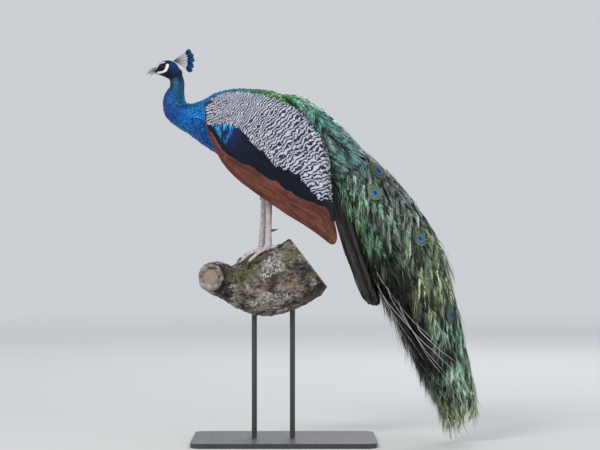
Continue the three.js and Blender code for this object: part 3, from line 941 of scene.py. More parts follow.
def gap_to(line, across, up):
    """Distance in the side view from places to a line of points, in millimetres."""
    best = np.full(len(across), 1e9)
    for (x0, z0), (x1, z1) in zip(line[:-1], line[1:]):
        run = np.array([x1 - x0, z1 - z0])
        share = ((across - x0) * run[0] + (up - z0) * run[1]) / (run @ run)
        share = np.clip(share, 0.0, 1.0)
        best = np.minimum(best, np.hypot(across - x0 - share * run[0], up - z0 - share * run[1]))
    return best


def face_marks(places, wider=0.0):
    """The bare pale patches round the eye, and the black line through it and on the throat."""
    low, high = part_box("eye_left")
    across = -(places[:, 0] - (low.x + high.x) / 2) * 1000.0
    up = (places[:, 2] - (low.z + high.z) / 2) * 1000.0
    below = gap_to(FACE_BELOW, across, up) - np.interp(across, [-11.0, -5.0], [1.4, 0.0])
    pale = 1.0 - ease(2.3 + wider, 3.0 + wider, below)
    above = 1.0 - ease(1.4 + wider, 2.1 + wider, gap_to(FACE_ABOVE, across, up))
    above *= ease(3.6, 4.8, np.abs(places[:, 1]) * 1000.0 + wider)
    pale = np.maximum(pale, above * np.interp(across, [-2.0, 7.0, 9.0, 12.0], [0.6, 0.5, 0.25, 1.0]))
    dark = 1.0 - ease(6.0, 8.5, gap_to(FACE_LINE, across, up))
    return pale, dark * (1.0 - pale)


# The body's colours from the bill to the rump, on the upper side and on the lower.
UPPER_COLOURS = [
    (0.0, (0.004, 0.06, 0.34)),
    (0.07, (0.004, 0.05, 0.26)),
    (0.1, (0.003, 0.02, 0.06)),
    (0.145, (0.004, 0.085, 0.15)),
    (0.22, (0.004, 0.11, 0.21)),
    (0.33, (0.003, 0.19, 0.5)),
    (0.4, (0.006, 0.2, 0.4)),
    (0.46, (0.014, 0.19, 0.18)),
    (0.54, (0.05, 0.22, 0.08)),
    (0.64, (0.12, 0.3, 0.06)),
    (0.76, (0.04, 0.23, 0.11)),
    (1.0, (0.03, 0.23, 0.2)),
]
LOWER_COLOURS = [
    (0.0, (0.003, 0.008, 0.03)),
    (0.09, (0.003, 0.01, 0.03)),
    (0.125, (0.004, 0.036, 0.05)),
    (0.16, (0.003, 0.05, 0.2)),
    (0.22, (0.003, 0.07, 0.34)),
    (0.28, (0.003, 0.15, 0.5)),
    (0.35, (0.003, 0.085, 0.36)),
    (0.42, (0.003, 0.07, 0.27)),
    (0.5, (0.003, 0.045, 0.12)),
    (0.6, (0.008, 0.035, 0.045)),
    (0.75, (0.02, 0.022, 0.016)),
    (1.0, (0.03, 0.024, 0.016)),
]


def body_colour(paint):
    """The markings of head, neck, trunk and rump, shared by the skin and its feathers."""
    cloud = paint.noise(26.0, 3.0)
    where = paint.scaled(cloud, 0.05, paint.value("place"))
    where = paint.minus(where, 0.025)
    upper = paint.ramp(where, UPPER_COLOURS)
    lower = paint.ramp(where, LOWER_COLOURS)
    split = paint.scaled(paint.noise(40.0), 0.5, paint.value("dorsal"))
    start = paint.spread(where, 0.1, 0.155, 0.95, 0.0)
    crown = paint.minus(split, start)
    soft = paint.spread(where, 0.08, 0.15, 0.3, 0.65)
    colour = paint.mix(paint.math("DIVIDE", crown, soft), lower, upper)
    colour = paint.mix(paint.value("dark"), colour, (0.003, 0.006, 0.008))
    return paint.mix(paint.value("pale"), colour, (0.72, 0.72, 0.78))


def feather_tones(paint, colour, rim, rim_share):
    """Each feather's own tone, its darker base and its rim."""
    colour = paint.vary(colour, 0.5, 1.55)
    along = paint.value("along")
    colour = paint.shade(colour, paint.spread(along, 0.1, 0.65, 0.4, 1.0))
    edge = paint.size(paint.value("across"))
    edge = paint.math("MAXIMUM", edge, paint.spread(along, 0.55, 1.0))
    return paint.mix(paint.spread(edge, 0.72, 1.0, 0.0, rim_share), colour, rim)


def body_paint(name, metallic, rough, rim, rim_share, gloss=0.5):
    """Glossy body feathers whose colour comes from their place on the bird."""
    paint = Paint(name, Metallic=metallic, Roughness=rough, Specular_IOR_Level=gloss)
    colour = feather_tones(paint, body_colour(paint), rim, rim_share)
    paint.colour(colour)
    barbs = paint.barbs(paint.value("across"), 9.0, 26.0)
    paint.bump(paint.scaled(barbs, 0.2, paint.noise(1500.0, 2.0)), 0.3, 0.0003)
    return paint.material


def tell_body(mesh, course, places):
    """Stores the body's own numbers on a mesh that has no feathers."""
    share, dorsal, _ = body_place(course, places)
    pale, dark = face_marks(places)
    near_face = share < HEAD_END
    put_value(mesh, "place", share)
    put_value(mesh, "dorsal", dorsal)
    put_value(mesh, "pale", pale * near_face)
    put_value(mesh, "dark", dark * near_face)


def skin_paint():
    """Skin under the feathers, with the same markings, bare white face and grey-pink scaly legs."""
    paint = Paint("skin", Roughness=0.6, Specular_IOR_Level=0.2)
    colour = paint.shade(body_colour(paint), 0.5)
    bare = paint.noise(600.0, 3.0)
    white = paint.ramp(bare, [(0.3, (0.6, 0.6, 0.66)), (0.7, (0.84, 0.85, 0.88))])
    colour = paint.mix(paint.value("pale"), colour, white)
    cloud = paint.noise(120.0, 4.0)
    shank = paint.ramp(cloud, [(0.3, (0.38, 0.33, 0.33)), (0.7, (0.58, 0.52, 0.52))])
    colour = paint.mix(paint.value("leg"), colour, shank)
    paint.colour(colour)
    paint.rough(paint.spread(bare, 0.2, 0.8, 0.45, 0.65))
    height = paint.plus(paint.cells(700.0), bare)
    paint.bump(height, 0.5, 0.0005)
    return paint.material


# The body's small feathers: the piece, the nodes it stands for, its slot, and the feathers' spacing, length,
# width, rows, columns and rise.
COAT = [
    ("coat_head", ["head"], "plumage_blue", 0.00094, 0.0036, 0.0016, 3, 3, 0.0009),
    ("coat_neck", ["neck_upper", "neck_lower"], "plumage_blue", 0.00135, 0.007, 0.0028, 4, 3, 0.0011),
    ("coat_breast", ["breast"], "plumage_blue", 0.002, 0.0104, 0.0042, 5, 3, 0.0016),
    ("coat_trunk", ["trunk_front"], "plumage_back", 0.0036, 0.0125, 0.006, 5, 5, 0.0022),
    ("coat_back", ["trunk_rear", "rump"], "plumage_back", 0.0048, 0.015, 0.0078, 5, 5, 0.0028),
]


def dress_body(course, skin, skin_tree, owner, nodes):
    """Lays the small feathers of head, neck, breast, trunk and back, one piece each."""
    points = points_of(skin)
    triangles = triangles_of(skin)
    coat = Coat(course, skin_tree)
    pale, _ = face_marks(points, 1.2)
    eyes = [eye_frame(side)[0] for side in SIDES]
    by_eye = np.min([np.linalg.norm(points - eye, axis=1) for eye in eyes], axis=0)
    bare = (pale > 0.04) | (by_eye < 0.0092)
    satin = body_paint("plumage_blue", 0.6, 0.36, (0.02, 0.3, 0.85), 0.35)
    dull = body_paint("plumage_face", 0.3, 0.5, (0.003, 0.02, 0.07), 0.25, 0.2)
    scaly = body_paint("plumage_back", 0.5, 0.4, (0.003, 0.012, 0.01), 0.75)
    looks = (dull, satin, satin, satin, scaly)
    for (name, stands_for, slot, spacing, long, *shape), look in zip(COAT, looks):
        chosen = np.isin(owner, [nodes.index(node) for node in stands_for])
        on_head = name == "coat_head"
        part = triangles_where(triangles, chosen & ~bare if on_head else chosen)
        roots = scattered(points, part, spacing, coat.rng)
        if on_head:
            roots = roots[face_marks(coat.tips(roots, long * 0.8))[0] < 0.35]
        batch = coat.grow(roots, long, *shape)
        near_face = body_place(course, roots)[0] < HEAD_END
        batch.tell("pale", 0.0)  # the pale patches are bare skin
        batch.tell_each(dark=face_marks(roots)[1] * near_face)
        add_piece(name, vanes_mesh(name, [batch]), look, stands_for)


# ---------------------------------------------------------------- sheets: surfaces unrolled to a grid

class Sheet:
    """A surface as a grid of points: along it from 0 to 1, and across it from low to high.

    width_at gives its breadth per unit across, at each place along.
    """

    def __init__(self, grid, low, high, outward):
        self.grid = grid
        self.low = low
        self.high = high
        along = np.gradient(grid, axis=0)
        across = np.gradient(grid, axis=1)
        normals = np.cross(along, across)
        facing = np.sign(np.sum(normals * outward, axis=-1, keepdims=True))
        self.normals = unit(normals * np.where(facing == 0, 1.0, facing))
        steps = np.linalg.norm(np.diff(grid, axis=0), axis=-1)
        self.length = float(np.mean(np.sum(steps, axis=0)))
        widths = np.sum(np.linalg.norm(np.diff(grid, axis=1), axis=-1), axis=1)
        self.width_at = read_along(widths / (high - low))

    def at(self, along, across):
        """The point and normal at each place, straight on past the far end."""
        rows, columns = self.grid.shape[:2]
        inside = np.clip(along, 0.0, 1.0)
        row = inside * (rows - 1.0001)
        column = np.clip((across - self.low) / (self.high - self.low), 0.0, 1.0) * (columns - 1.0001)
        i = row.astype(int)
        j = column.astype(int)
        u = (row - i)[..., None]
        v = (column - j)[..., None]

        def blend(table):
            upper = table[i, j] * (1.0 - v) + table[i, j + 1] * v
            lower = table[i + 1, j] * (1.0 - v) + table[i + 1, j + 1] * v
            return upper * (1.0 - u) + lower * u

        point = blend(self.grid)
        normal = unit(blend(self.normals))
        last = self.grid[-1].mean(axis=0) - self.grid[-4].mean(axis=0)
        point = point + unit(last) * ((along - inside) * self.length)[..., None]
        return point, normal


# ---------------------------------------------------------------- the folded wings

WING_PARTS = ("wing_coverts", "wing_secondaries", "wing_primaries")


def make_wing_bed(side):
    """The folded wing's closed body under its feathers."""
    nodes = [f"{part}_{side}" for part in WING_PARTS]
    mesh = fused(f"wing_bed_{side}", nodes, VOXELS["wing"])
    edges = edges_of(mesh)
    points = relaxed(points_of(mesh), edges, 14)
    put_points(mesh, points)
    shell = tree_of(mesh)
    put_points(mesh, points - normals_of(mesh) * 0.0024)
    return mesh, shell


def wing_course(points):
    """The line down the middle of the folded wing, level with its outer face."""
    low, high = points[:, 0].min(), points[:, 0].max()
    knots = []
    for share in np.linspace(0.02, 0.97, 8):
        middle = low + (high - low) * share
        slab = points[np.abs(points[:, 0] - middle) < 0.006]
        knots.append((middle, slab[:, 1].mean(), (slab[:, 2].min() + slab[:, 2].max()) / 2))
    last = points[points[:, 2] < points[:, 2].min() + 0.01].mean(axis=0)
    knots[-1] = (np.array(knots[-2]) + last) / 2
    knots.append(last)
    ahead = np.array(knots[0]) - np.array(knots[1])
    knots.insert(0, np.array(knots[0]) + ahead * 0.75)
    return Course(knots, 120)


# Over how many rows each way the sheet's turns are spread, so that its rows never cross at the lower edge.
WING_TURN_ROWS = 17


def wing_row(sign, shell, middle, head):
    """The wing's outer face across one point of its course, as 28 places from the upper edge to the lower."""
    down = unit(np.cross(head, SIDEWAYS) * np.array([1.0, 0.0, 1.0]))
    down = down if down[2] < 0.0 else -down

    def cast(offset):
        start = middle + down * offset
        start[1] = sign * 0.3
        return shell.ray_cast(start.tolist(), Vector((0.0, -sign, 0.0)), 0.6)[0]

    hits = {}
    for offset in np.arange(-0.16, 0.16, 0.002):
        hit = cast(offset)
        if hit is not None:
            hits[offset] = hit
    if len(hits) < 4:
        return []
    points = []
    for offset in np.linspace(min(hits) + 0.001, max(hits) - 0.001, 28):
        near = hits[min(hits, key=lambda key: abs(key - offset))]
        points.append(cast(offset) or near)
    return points


def wing_sheet(side, shell, course):
    """The wing's outer face as a sheet: along from bend to tip, across from the upper edge to the lower."""
    sign = SIDES[side]
    middles, heads = course.at(np.linspace(0.0, course.length, 72))
    weights = np.hanning(2 * WING_TURN_ROWS + 1) / WING_TURN_ROWS
    padded = np.pad(heads, ((WING_TURN_ROWS, WING_TURN_ROWS), (0, 0)), mode="edge")
    heads = unit(np.stack([np.convolve(padded[:, axis], weights, mode="valid") for axis in range(3)], 1))
    rows = [wing_row(sign, shell, middle, head) for middle, head in zip(middles, heads)]
    sheet = np.array([row for row in rows if row])
    for _ in range(2):
        sheet[1:-1] = (sheet[:-2] + sheet[1:-1] * 2 + sheet[2:]) / 4
    return Sheet(sheet, 0.0, 1.0, np.array([0.0, sign, 0.0]))


def read_along(values):
    """Reads a list of values, even along a sheet, at any places from 0 to 1."""
    return lambda along: np.interp(along, np.linspace(0.0, 1.0, len(values)), values)


def wing_borders(side, sheet):
    """Where, across the wing, the barred area ends and where the rufous one starts, by place along."""
    owner = nearest_node(sheet.grid.reshape(-1, 3), [f"{part}_{side}" for part in WING_PARTS])
    owner = owner.reshape(sheet.grid.shape[:2])
    barred = np.mean(owner == 0, axis=1)
    rufous = 1.0 - np.mean(owner == 2, axis=1)
    box = np.ones(5) / 5
    barred = np.convolve(np.pad(barred, 2, mode="edge"), box, mode="valid")
    rufous = np.convolve(np.pad(rufous, 2, mode="edge"), box, mode="valid")
    places = np.linspace(0.0, 1.0, len(barred))
    front = np.interp(places, [0.055, 0.085], [0.92, 0.0])
    return read_along(np.maximum(barred, front)), read_along(rufous * (1.0 - ease(0.74, 0.88, places)))


# How far apart the bars lie at the wing's bend and at its tip, in metres.
BAR_FRONT = 0.0054
BAR_REAR = 0.0108


def bar_count(travel, length):
    """How many bars lie before each place, as the bars widen towards the wing's tip."""
    growth = (BAR_REAR - BAR_FRONT) / length
    return np.log(1.0 + growth * travel / BAR_FRONT) / growth


def staggered(low, high, along_step, across_count, rng, jitter=0.3):
    """Roots in staggered rows: along between low and high, and a share across from 0 to 1."""
    along, across = [], []
    place, odd = low, 0
    while place < high:
        count = max(int(round(across_count(place))), 2)
        row = (np.arange(count) + 0.5 * odd) / (count - 0.5)
        across.append(row + rng.normal(0.0, jitter / count * 0.5, count))
        along.append(place + rng.normal(0.0, jitter * along_step(place) * 0.5, count))
        place += along_step(place)
        odd = 1 - odd
    return np.concatenate(along), np.concatenate(across)


def sheet_vanes(sheet, along, across, length, width, rows, columns, rise, rng, drift=0.0, widest=0.62,
                root=0.5, camber=0.12, lane=None, base=0.0):
    """Feathers that lie along a sheet; along and across are their roots' places.

    With a lane given, it turns each place along into the place across, and across is its share.
    """
    count = len(along)
    steps = 1.0 - (1.0 - np.linspace(0.0, 1.0, rows)) ** 1.35
    each = [np.broadcast_to(values, (count,)) for values in (length, width, rise, drift)]
    length, width, rise, drift = each
    path = along[:, None] + steps[None] * (length / sheet.length)[:, None]
    sway = across[:, None] + drift[:, None] * steps[None]
    if lane is not None:
        sway = lane(path, sway)
    lines, normals = sheet.at(path, sway)
    lift = base + rise[:, None] * steps[None] ** 1.2
    batch = Vanes(lines, normals, width, steps, columns, vane_outline(steps, widest, root, 0.12),
                  lift, width * camber, rng.normal(0.0, 1.0, count) * width * 0.03)
    batch.tell_each(chance=rng.random(count))
    batch.tell("reach", path[:, :, None])
    batch.path = path
    return batch


def lane_vanes(sheet, along, share, lane, patch, length, width, rows, rise, rng, **shape):
    """Feathers that keep to lanes along a sheet; patch is the size of each one's bake map."""
    batch = sheet_vanes(sheet, along, share, length, width, rows, 5, rise, rng, lane=lane, **shape)
    batch.tell_each(place=along, share=share)
    batch.map_at(lane(along, share), along, patch)
    return batch


def barred_coverts(sheet, barred, rng):
    """The pale, finely barred feathers of shoulder and scapulars."""
    def step(place):
        return (0.0062 + 0.0085 * place) / sheet.length

    def row_count(place):
        return barred(place) * sheet.width_at(place) / (0.0085 + 0.0085 * place)

    along, share = staggered(0.0, 0.985, step, row_count, rng)
    across = share * barred(along)
    room = barred(along + 0.04) * sheet.width_at(along)
    along, share, across = (values[room > 0.01] for values in (along, share, across))
    count = len(along)
    length = (0.019 + 0.026 * along) * rng.uniform(0.9, 1.1, count)
    length = np.minimum(length, (1.03 - along) * sheet.length)
    width = (0.0125 + 0.0125 * along) * rng.uniform(0.9, 1.1, count)
    rise = (0.0016 + 0.0012 * along) * rng.uniform(0.7, 1.4, count)
    across = across - share * width * 0.25 / sheet.width_at(along)
    slant = np.interp(along, [0.0, 0.3, 0.5, 1.0], [0.25, 0.32, 0.16, 0.0])
    drift = slant * length / sheet.width_at(along) * (1.0 - share) + rng.normal(0.0, 0.006, count)
    batch = sheet_vanes(sheet, along, across, length, width, 6, 5, rise, rng, drift=drift, base=0.0016)
    shift = rng.normal(0.0, 0.05, count)
    steps = np.linspace(0.0, 1.0, batch.path.shape[1])[None]
    below = (across[:, None] + drift[:, None] * steps) * sheet.width_at(along)[:, None]
    bars = bar_count(batch.path * sheet.length, sheet.length) + shift[:, None]
    finest = BAR_FRONT + (BAR_REAR - BAR_FRONT) * along[:, None]
    bars = bars + below * slant[:, None] / finest
    bow = (np.linspace(-1, 1, batch.columns) ** 2)[None, None, :] * 0.1
    batch.tell("bars", bars[:, :, None] - bow)
    batch.tell_each(place=along, share=share)
    batch.map_at(across, along, 0.022)
    return batch


def bed_vanes(bed, course, roots, length, width, rows, lift, widest, camber, rng):
    """Feathers that follow a course over the wing's bed, lifted a little at their roots."""
    steps = np.linspace(0.0, 1.0, rows)
    lines, normals = marched(tree_of(bed), roots, flow_along(course), length, steps)
    rise = lift + 0.0014 * steps[None] * rng.uniform(0.6, 1.4, len(roots))[:, None]
    outline = vane_outline(steps, widest, 0.5, 0.12)
    return Vanes(lines, normals, width, steps, 5, outline, rise, width * camber)


def along_middle(sheet, places):
    """How far along the sheet's middle line each place lies, from 0 to 1."""
    middle = sheet.grid[:, sheet.grid.shape[1] // 2]
    gaps = np.linalg.norm(places[:, None] - middle[None], axis=2)
    return np.argmin(gaps, axis=1) / (len(middle) - 1)


def lining_feathers(side, bed, sheet, rng):
    """Dull feathers over the wing's inner face, which shows only from below and from behind."""
    points = points_of(bed)
    course = wing_course(points)
    rims = sheet.grid[:, [0, -1]].reshape(-1, 3)
    clear = np.linalg.norm(points[:, None] - rims[None], axis=2).min(axis=1)
    wanted = 0.01 + 0.02 * along_middle(sheet, points)
    inner = (clear > wanted) & (normals_of(bed)[:, 1] * SIDES[side] < -0.2)
    roots = scattered(points, triangles_where(triangles_of(bed), inner), 0.0115, rng)
    along = along_middle(sheet, roots)
    roots = roots[along < 0.9]
    along = along[along < 0.9]
    count = len(roots)
    length = (0.03 + 0.024 * along) * rng.uniform(0.9, 1.1, count)
    length = np.minimum(length, (0.95 - along) * sheet.length)
    batch = bed_vanes(bed, course, roots, length, 0.019 + 0.004 * along, 7, 0.0004, 0.66, 0.08, rng)
    batch.tell_each(chance=rng.random(count) * 0.6, reach=along, place=along, share=np.ones(count))
    batch.map_at(roots[:, 2] * 2.0, along, 0.03)
    return batch


def beside_rim(sheet, places):
    """Each place's distance from the wing's front and upper edge, and its row along the upper edge."""
    front = sheet.grid[0, :20]
    rim = np.vstack([front, sheet.grid[:56, 0]])
    gaps = np.linalg.norm(places[:, None] - rim[None], axis=2)
    return gaps.min(axis=1), np.maximum(np.argmin(gaps, axis=1) - len(front) + 1, 0)


def rim_feathers(side, bed, sheet, rng):
    """Barred feathers over the wing's upper edge and down its inner face towards the back."""
    points = points_of(bed)
    course = wing_course(points)
    gap, row = beside_rim(sheet, points)
    inner = (gap < 0.036 - 0.022 * row / 56.0) & (normals_of(bed)[:, 1] * SIDES[side] < 0.6)
    roots = scattered(points, triangles_where(triangles_of(bed), inner), 0.0062, rng)
    gap, row = beside_rim(sheet, roots)
    along = row / (sheet.grid.shape[0] - 1)
    count = len(roots)
    length = (0.02 + 0.02 * along) * rng.uniform(0.9, 1.1, count)
    length = np.minimum(length, (0.84 - along) * sheet.length)
    batch = bed_vanes(bed, course, roots, length, 0.0145 + 0.007 * along, 6, 0.0006, 0.62, 0.1, rng)
    steps = np.linspace(0.0, 1.0, batch.rows)
    path = along[:, None] + steps[None] * (length / sheet.length)[:, None]
    batch.tell("bars", bar_count(path * sheet.length, sheet.length)[:, :, None])
    batch.tell("reach", path[:, :, None])
    batch.tell_each(chance=rng.random(count), place=along, share=np.zeros(count))
    batch.map_at(gap, along, 0.022)
    return batch


def barred_paint():
    """Lavender-white feathers with wavy black bars, finer and pinker at the shoulder."""
    paint = Paint("wing_barred", Roughness=0.55, Specular_IOR_Level=0.35, Sheen_Weight=0.1)
    place = paint.value("place")
    wander = paint.times(paint.minus(paint.noise(52.0, 1.0), 0.5), 2.2)
    fine = paint.times(paint.minus(paint.noise(130.0, 1.0), 0.5), 0.9)
    turn = paint.plus(paint.value("bars"), paint.plus(wander, fine))
    wave = paint.sine(paint.times(turn, 2.0 * math.pi))
    threshold = paint.spread(place, 0.0, 0.5, 0.12, -0.02)
    wave = paint.minus(wave, threshold)
    ink = paint.spread(wave, -0.22, 0.22)
    pale = paint.ramp(place, [
        (0.0, (0.42, 0.44, 0.52)),
        (0.25, (0.47, 0.48, 0.56)),
        (0.6, (0.5, 0.51, 0.61)),
        (1.0, (0.47, 0.48, 0.57)),
    ])
    pale = paint.vary(pale, 0.85, 1.15)
    dark = paint.ramp(place, [
        (0.0, (0.025, 0.024, 0.04)),
        (0.3, (0.012, 0.013, 0.026)),
        (1.0, (0.006, 0.007, 0.014)),
    ])
    colour = paint.mix(ink, pale, dark)
    colour = paint.rimmed(colour, 0.8, 0.35, (0.05, 0.045, 0.05))
    paint.colour(colour)
    paint.bump(paint.noise(1800.0, 2.0, stretch=(1.0, 1.0, 0.4)), 0.3, 0.0004)
    return paint.material


def dark_feathers(sheet, barred, rufous, rng):
    """The blue-black greater coverts, in overlapping rows, and the secondaries below them."""
    def between(along, share):
        upper = barred(along)
        lower = rufous(along) - 0.0075 / sheet.width_at(along)
        return upper + (lower - upper) * share

    coverts = greater_coverts(sheet, between, rng)
    return [secondaries(sheet, between, rng), coverts]


def greater_coverts(sheet, lane, rng):
    """Short rows of rounded feathers behind the wing's bend."""
    along, share = staggered(0.0, 0.3, lambda place: 0.013 / sheet.length, lambda place: 5.0, rng, 0.2)
    rise = 0.0007 + 0.0007 * rng.random(len(along))
    return lane_vanes(sheet, along, share, lane, 0.03, 0.046, 0.0155, 7, rise, rng, base=0.0004)


def secondaries(sheet, lane, rng):
    """Long dark feathers in eleven lanes, one overlapping the next."""
    lanes = 11
    spots = []
    for number in range(lanes):
        for start in np.arange(0.1 + 0.09 * (number % 2), 0.74, 0.15):
            spots.append((start + rng.normal(0.0, 0.015), (number + 0.5) / lanes))
    along, share = np.array(spots).T
    length = np.minimum(0.125 * rng.uniform(0.9, 1.1, len(along)), (0.9 - along) * sheet.length)
    shape = dict(widest=0.8, camber=0.08, base=0.0006)
    return lane_vanes(sheet, along, share, lane, 0.05, length, 0.016, 10, 0.0013, rng, **shape)


def dark_paint():
    """Blue-black feathers: painted highlight streaks of cobalt and cyan gloss on the greater coverts, near
    black behind.
    """
    paint = Paint("wing_dark", Metallic=0.15, Roughness=0.42, Specular_IOR_Level=0.22)
    place = paint.value("place")
    along = paint.value("along")
    # Painted highlight: streaks of cobalt and cyan on the greater coverts stand in for their gloss.
    near = paint.size(paint.minus(paint.value("reach"), 0.135))
    gloss = paint.spread(near, 0.04, 0.07, 1.0, 0.0)
    lane = paint.spread(paint.value("share"), 0.55, 0.95, 1.0, 0.0)
    gloss = paint.times(gloss, lane)
    streak = paint.spread(paint.noise(90.0, 2.0, stretch=(2.2, 1.0, 0.35)), 0.42, 0.55)
    gloss = paint.times(gloss, streak)
    blue = paint.ramp(paint.noise(60.0), [(0.35, (0.004, 0.08, 0.55)), (0.6, (0.02, 0.5, 0.9))])
    black = paint.ramp(paint.scaled(paint.noise(25.0), 0.5, place), [
        (0.1, (0.002, 0.006, 0.03)),
        (0.5, (0.002, 0.004, 0.009)),
        (0.8, (0.002, 0.005, 0.011)),
        (1.2, (0.006, 0.006, 0.009)),
    ])
    black = paint.vary(black, 0.7, 1.35)
    black = paint.rimmed(black, 0.75, 0.5, (0.004, 0.035, 0.06))
    far = paint.size(paint.minus(paint.value("reach"), 0.15))
    deep = paint.times(paint.spread(far, 0.06, 0.11, 0.75, 0.0), lane)
    black = paint.mix(deep, black, (0.003, 0.015, 0.09))
    # Mixes the painted highlight streaks over the near black.
    paint.colour(paint.mix(gloss, black, blue))
    paint.rough(paint.spread(paint.noise(300.0, 2.0), 0.3, 0.7, 0.3, 0.46))
    barbs = paint.sine(paint.times(along, 160.0))
    paint.bump(barbs, 0.12, 0.0003)
    return paint.material


def rufous_feathers(sheet, rufous, rng):
    """The long rufous primaries, stacked along the wing's lower edge."""
    def lane(path, share):
        upper = rufous(path) + 0.004 / sheet.width_at(path)
        return upper + (0.985 - upper) * share

    lanes = 7
    spots = []
    for number in range(lanes):
        for start in np.arange(0.02 + 0.052 * (number * 2 % 3), 0.8, 0.155):
            nudge = rng.uniform(-0.012, 0.012) * (start > 0.06)
            spots.append((start + nudge, number / (lanes - 1)))
    along, share = np.array(spots).T
    length = np.minimum(0.215 * rng.uniform(0.94, 1.06, len(along)), (1.01 - along) * sheet.length)
    width = np.interp(along, [0.0, 0.2, 1.0], [0.014, 0.019, 0.017])
    shape = dict(widest=0.85, root=0.7, camber=0.05, base=-0.0004)
    return lane_vanes(sheet, along, share, lane, 0.06, length, width, 12, 0.0012, rng, **shape)


def rufous_paint():
    """Rufous flight feathers with darker streaks and paler edges."""
    paint = Paint("wing_rufous", Roughness=0.55, Specular_IOR_Level=0.2)
    across = paint.value("across")
    colour = paint.ramp(paint.noise(26.0, 3.0), [(0.35, (0.1, 0.029, 0.019)), (0.65, (0.155, 0.05, 0.034))])
    colour = paint.vary(colour, 0.72, 1.2)
    streak = paint.scaled(across, 7.0, paint.times(paint.value("chance"), 40.0))
    streak = paint.sine(paint.plus(streak, paint.noise(40.0, 2.0)))
    colour = paint.shade(colour, paint.spread(streak, -1.0, 1.0, 0.78, 1.12))
    rib = paint.spread(paint.size(across), 0.0, 0.1, 0.55, 0.0)
    colour = paint.mix(rib, colour, (0.03, 0.012, 0.01))
    edge = paint.spread(paint.times(across, -1.0), 0.8, 1.0, 0.0, 0.75)
    colour = paint.mix(edge, colour, (0.3, 0.13, 0.095))
    paint.colour(colour)
    barbs = paint.sine(paint.times(paint.value("along"), 260.0))
    paint.bump(barbs, 0.12, 0.0003)
    return paint.material


def dress_wings():
    """Both folded wings: a closed bed and the three groups of feathers on it."""
    barred_look = barred_paint()
    dark_look = dark_paint()
    rufous_look = rufous_paint()
    bed_look = bed_paint("wing_bed", (0.022, 0.016, 0.016), (0.05, 0.036, 0.036))
    for side in SIDES:
        rng = draws(f"wing_{side}")
        bed, shell = make_wing_bed(side)
        nodes = [f"{part}_{side}" for part in WING_PARTS]
        add_piece(f"wing_bed_{side}", bed, bed_look, nodes)
        sheet = wing_sheet(side, shell, wing_course(points_of(bed)))
        barred, rufous = wing_borders(side, sheet)
        rows = [rufous_feathers(sheet, rufous, rng), lining_feathers(side, bed, sheet, rng)]
        mesh = vanes_mesh(f"feathers_rufous_{side}", rows)
        add_piece(mesh.name, mesh, rufous_look, [nodes[2]])
        mesh = vanes_mesh(f"feathers_dark_{side}", dark_feathers(sheet, barred, rufous, rng))
        add_piece(mesh.name, mesh, dark_look, [nodes[1]])
        rows = [barred_coverts(sheet, barred, rng), rim_feathers(side, bed, sheet, rng)]
        mesh = vanes_mesh(f"feathers_barred_{side}", rows)
        add_piece(mesh.name, mesh, barred_look, [nodes[0]])


def bed_paint(name, low, high):
    """Plain matt underlayer seen only through gaps between the feathers."""
    paint = Paint(name, Roughness=0.8)
    paint.colour(paint.ramp(paint.noise(160.0, 4.0), [(0.3, low), (0.7, high)]))
    paint.bump(paint.noise(700.0, 3.0), 0.5, 0.001)
    return paint.material


# ---------------------------------------------------------------- the train

def train_course():
    """The line down the middle of the train, from the back to its lowest feather."""
    low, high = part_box("train_root")
    start = (low.x - 0.01, 0.0, high.z - 0.01)
    points = cad_points("train_tip")
    stop = points[points[:, 2] < points[:, 2].min() + 0.03].mean(axis=0)
    return Course(run_course(TRAIN_RUN, start, stop), 160)


# How far the loose barbs lift the train's ridge behind the back.
TRAIN_FULL = 0.011


def train_ring(shell, middle, head):
    """The train's outside round one point of its course: evenly spaced from the inner edge to the ridge, and
    from the ridge back to the inner edge."""
    outer = unit(np.cross(head, SIDEWAYS))
    found = []
    for turn in np.linspace(-math.pi, math.pi, 241):
        ray = outer * math.cos(turn) + SIDEWAYS * math.sin(turn)
        if abs(turn) < 1.9:
            hit = shell.ray_cast((middle + ray * 0.2).tolist(), (-ray).tolist(), 0.2)[0]
        else:
            hit = shell.ray_cast(middle.tolist(), ray.tolist(), 0.25)[0]
        found.append(np.array(hit) if hit is not None else middle + ray * 0.004)
    found = np.array(found)
    gone = np.concatenate([[0.0], np.cumsum(np.linalg.norm(np.diff(found, axis=0), axis=1))])
    ridge = gone[len(gone) // 2]
    wanted = np.append(np.linspace(0.0, ridge, 41), np.linspace(ridge, gone[-1], 41)[1:])
    return np.stack([np.interp(wanted, gone, found[:, axis]) for axis in range(3)], 1)


def train_sheet(course, shell):
    """The train's outside as a sheet: along from the back to the tip; across is 0 on the outer
    ridge, -1 to 1 round the left and right sides to the inner edge."""
    middles, heads = course.at(np.linspace(0.01, 0.985, 90) * course.length)
    sheet = np.stack([train_ring(shell, middle, head) for middle, head in zip(middles, heads)])
    rows, columns = sheet.shape[:2]
    for _ in range(4):
        sheet[1:-1] = (sheet[:-2] + sheet[1:-1] * 2 + sheet[2:]) / 4
    outward = sheet - sheet.mean(axis=1, keepdims=True)
    early = (1.0 - ease(0.0, 0.09, np.linspace(0.0, 1.0, rows)))[:, None, None]
    sheet = sheet - unit(outward) * early * 0.004
    shares = np.linspace(0.0, 1.0, rows)
    full = ease(0.24, 0.38, shares) * (1.0 - ease(0.6, 0.84, shares))
    ridge = np.cos(np.linspace(-0.5, 0.5, columns) * math.pi) ** 2
    sheet = sheet + unit(outward) * (full[:, None] * ridge[None])[..., None] * TRAIN_FULL
    return Sheet(sheet, -1.0, 1.0, outward)


def wrapped(across):
    """Across the train, past the inner edge and on to the other side."""
    return (across + 1.0) % 2.0 - 1.0


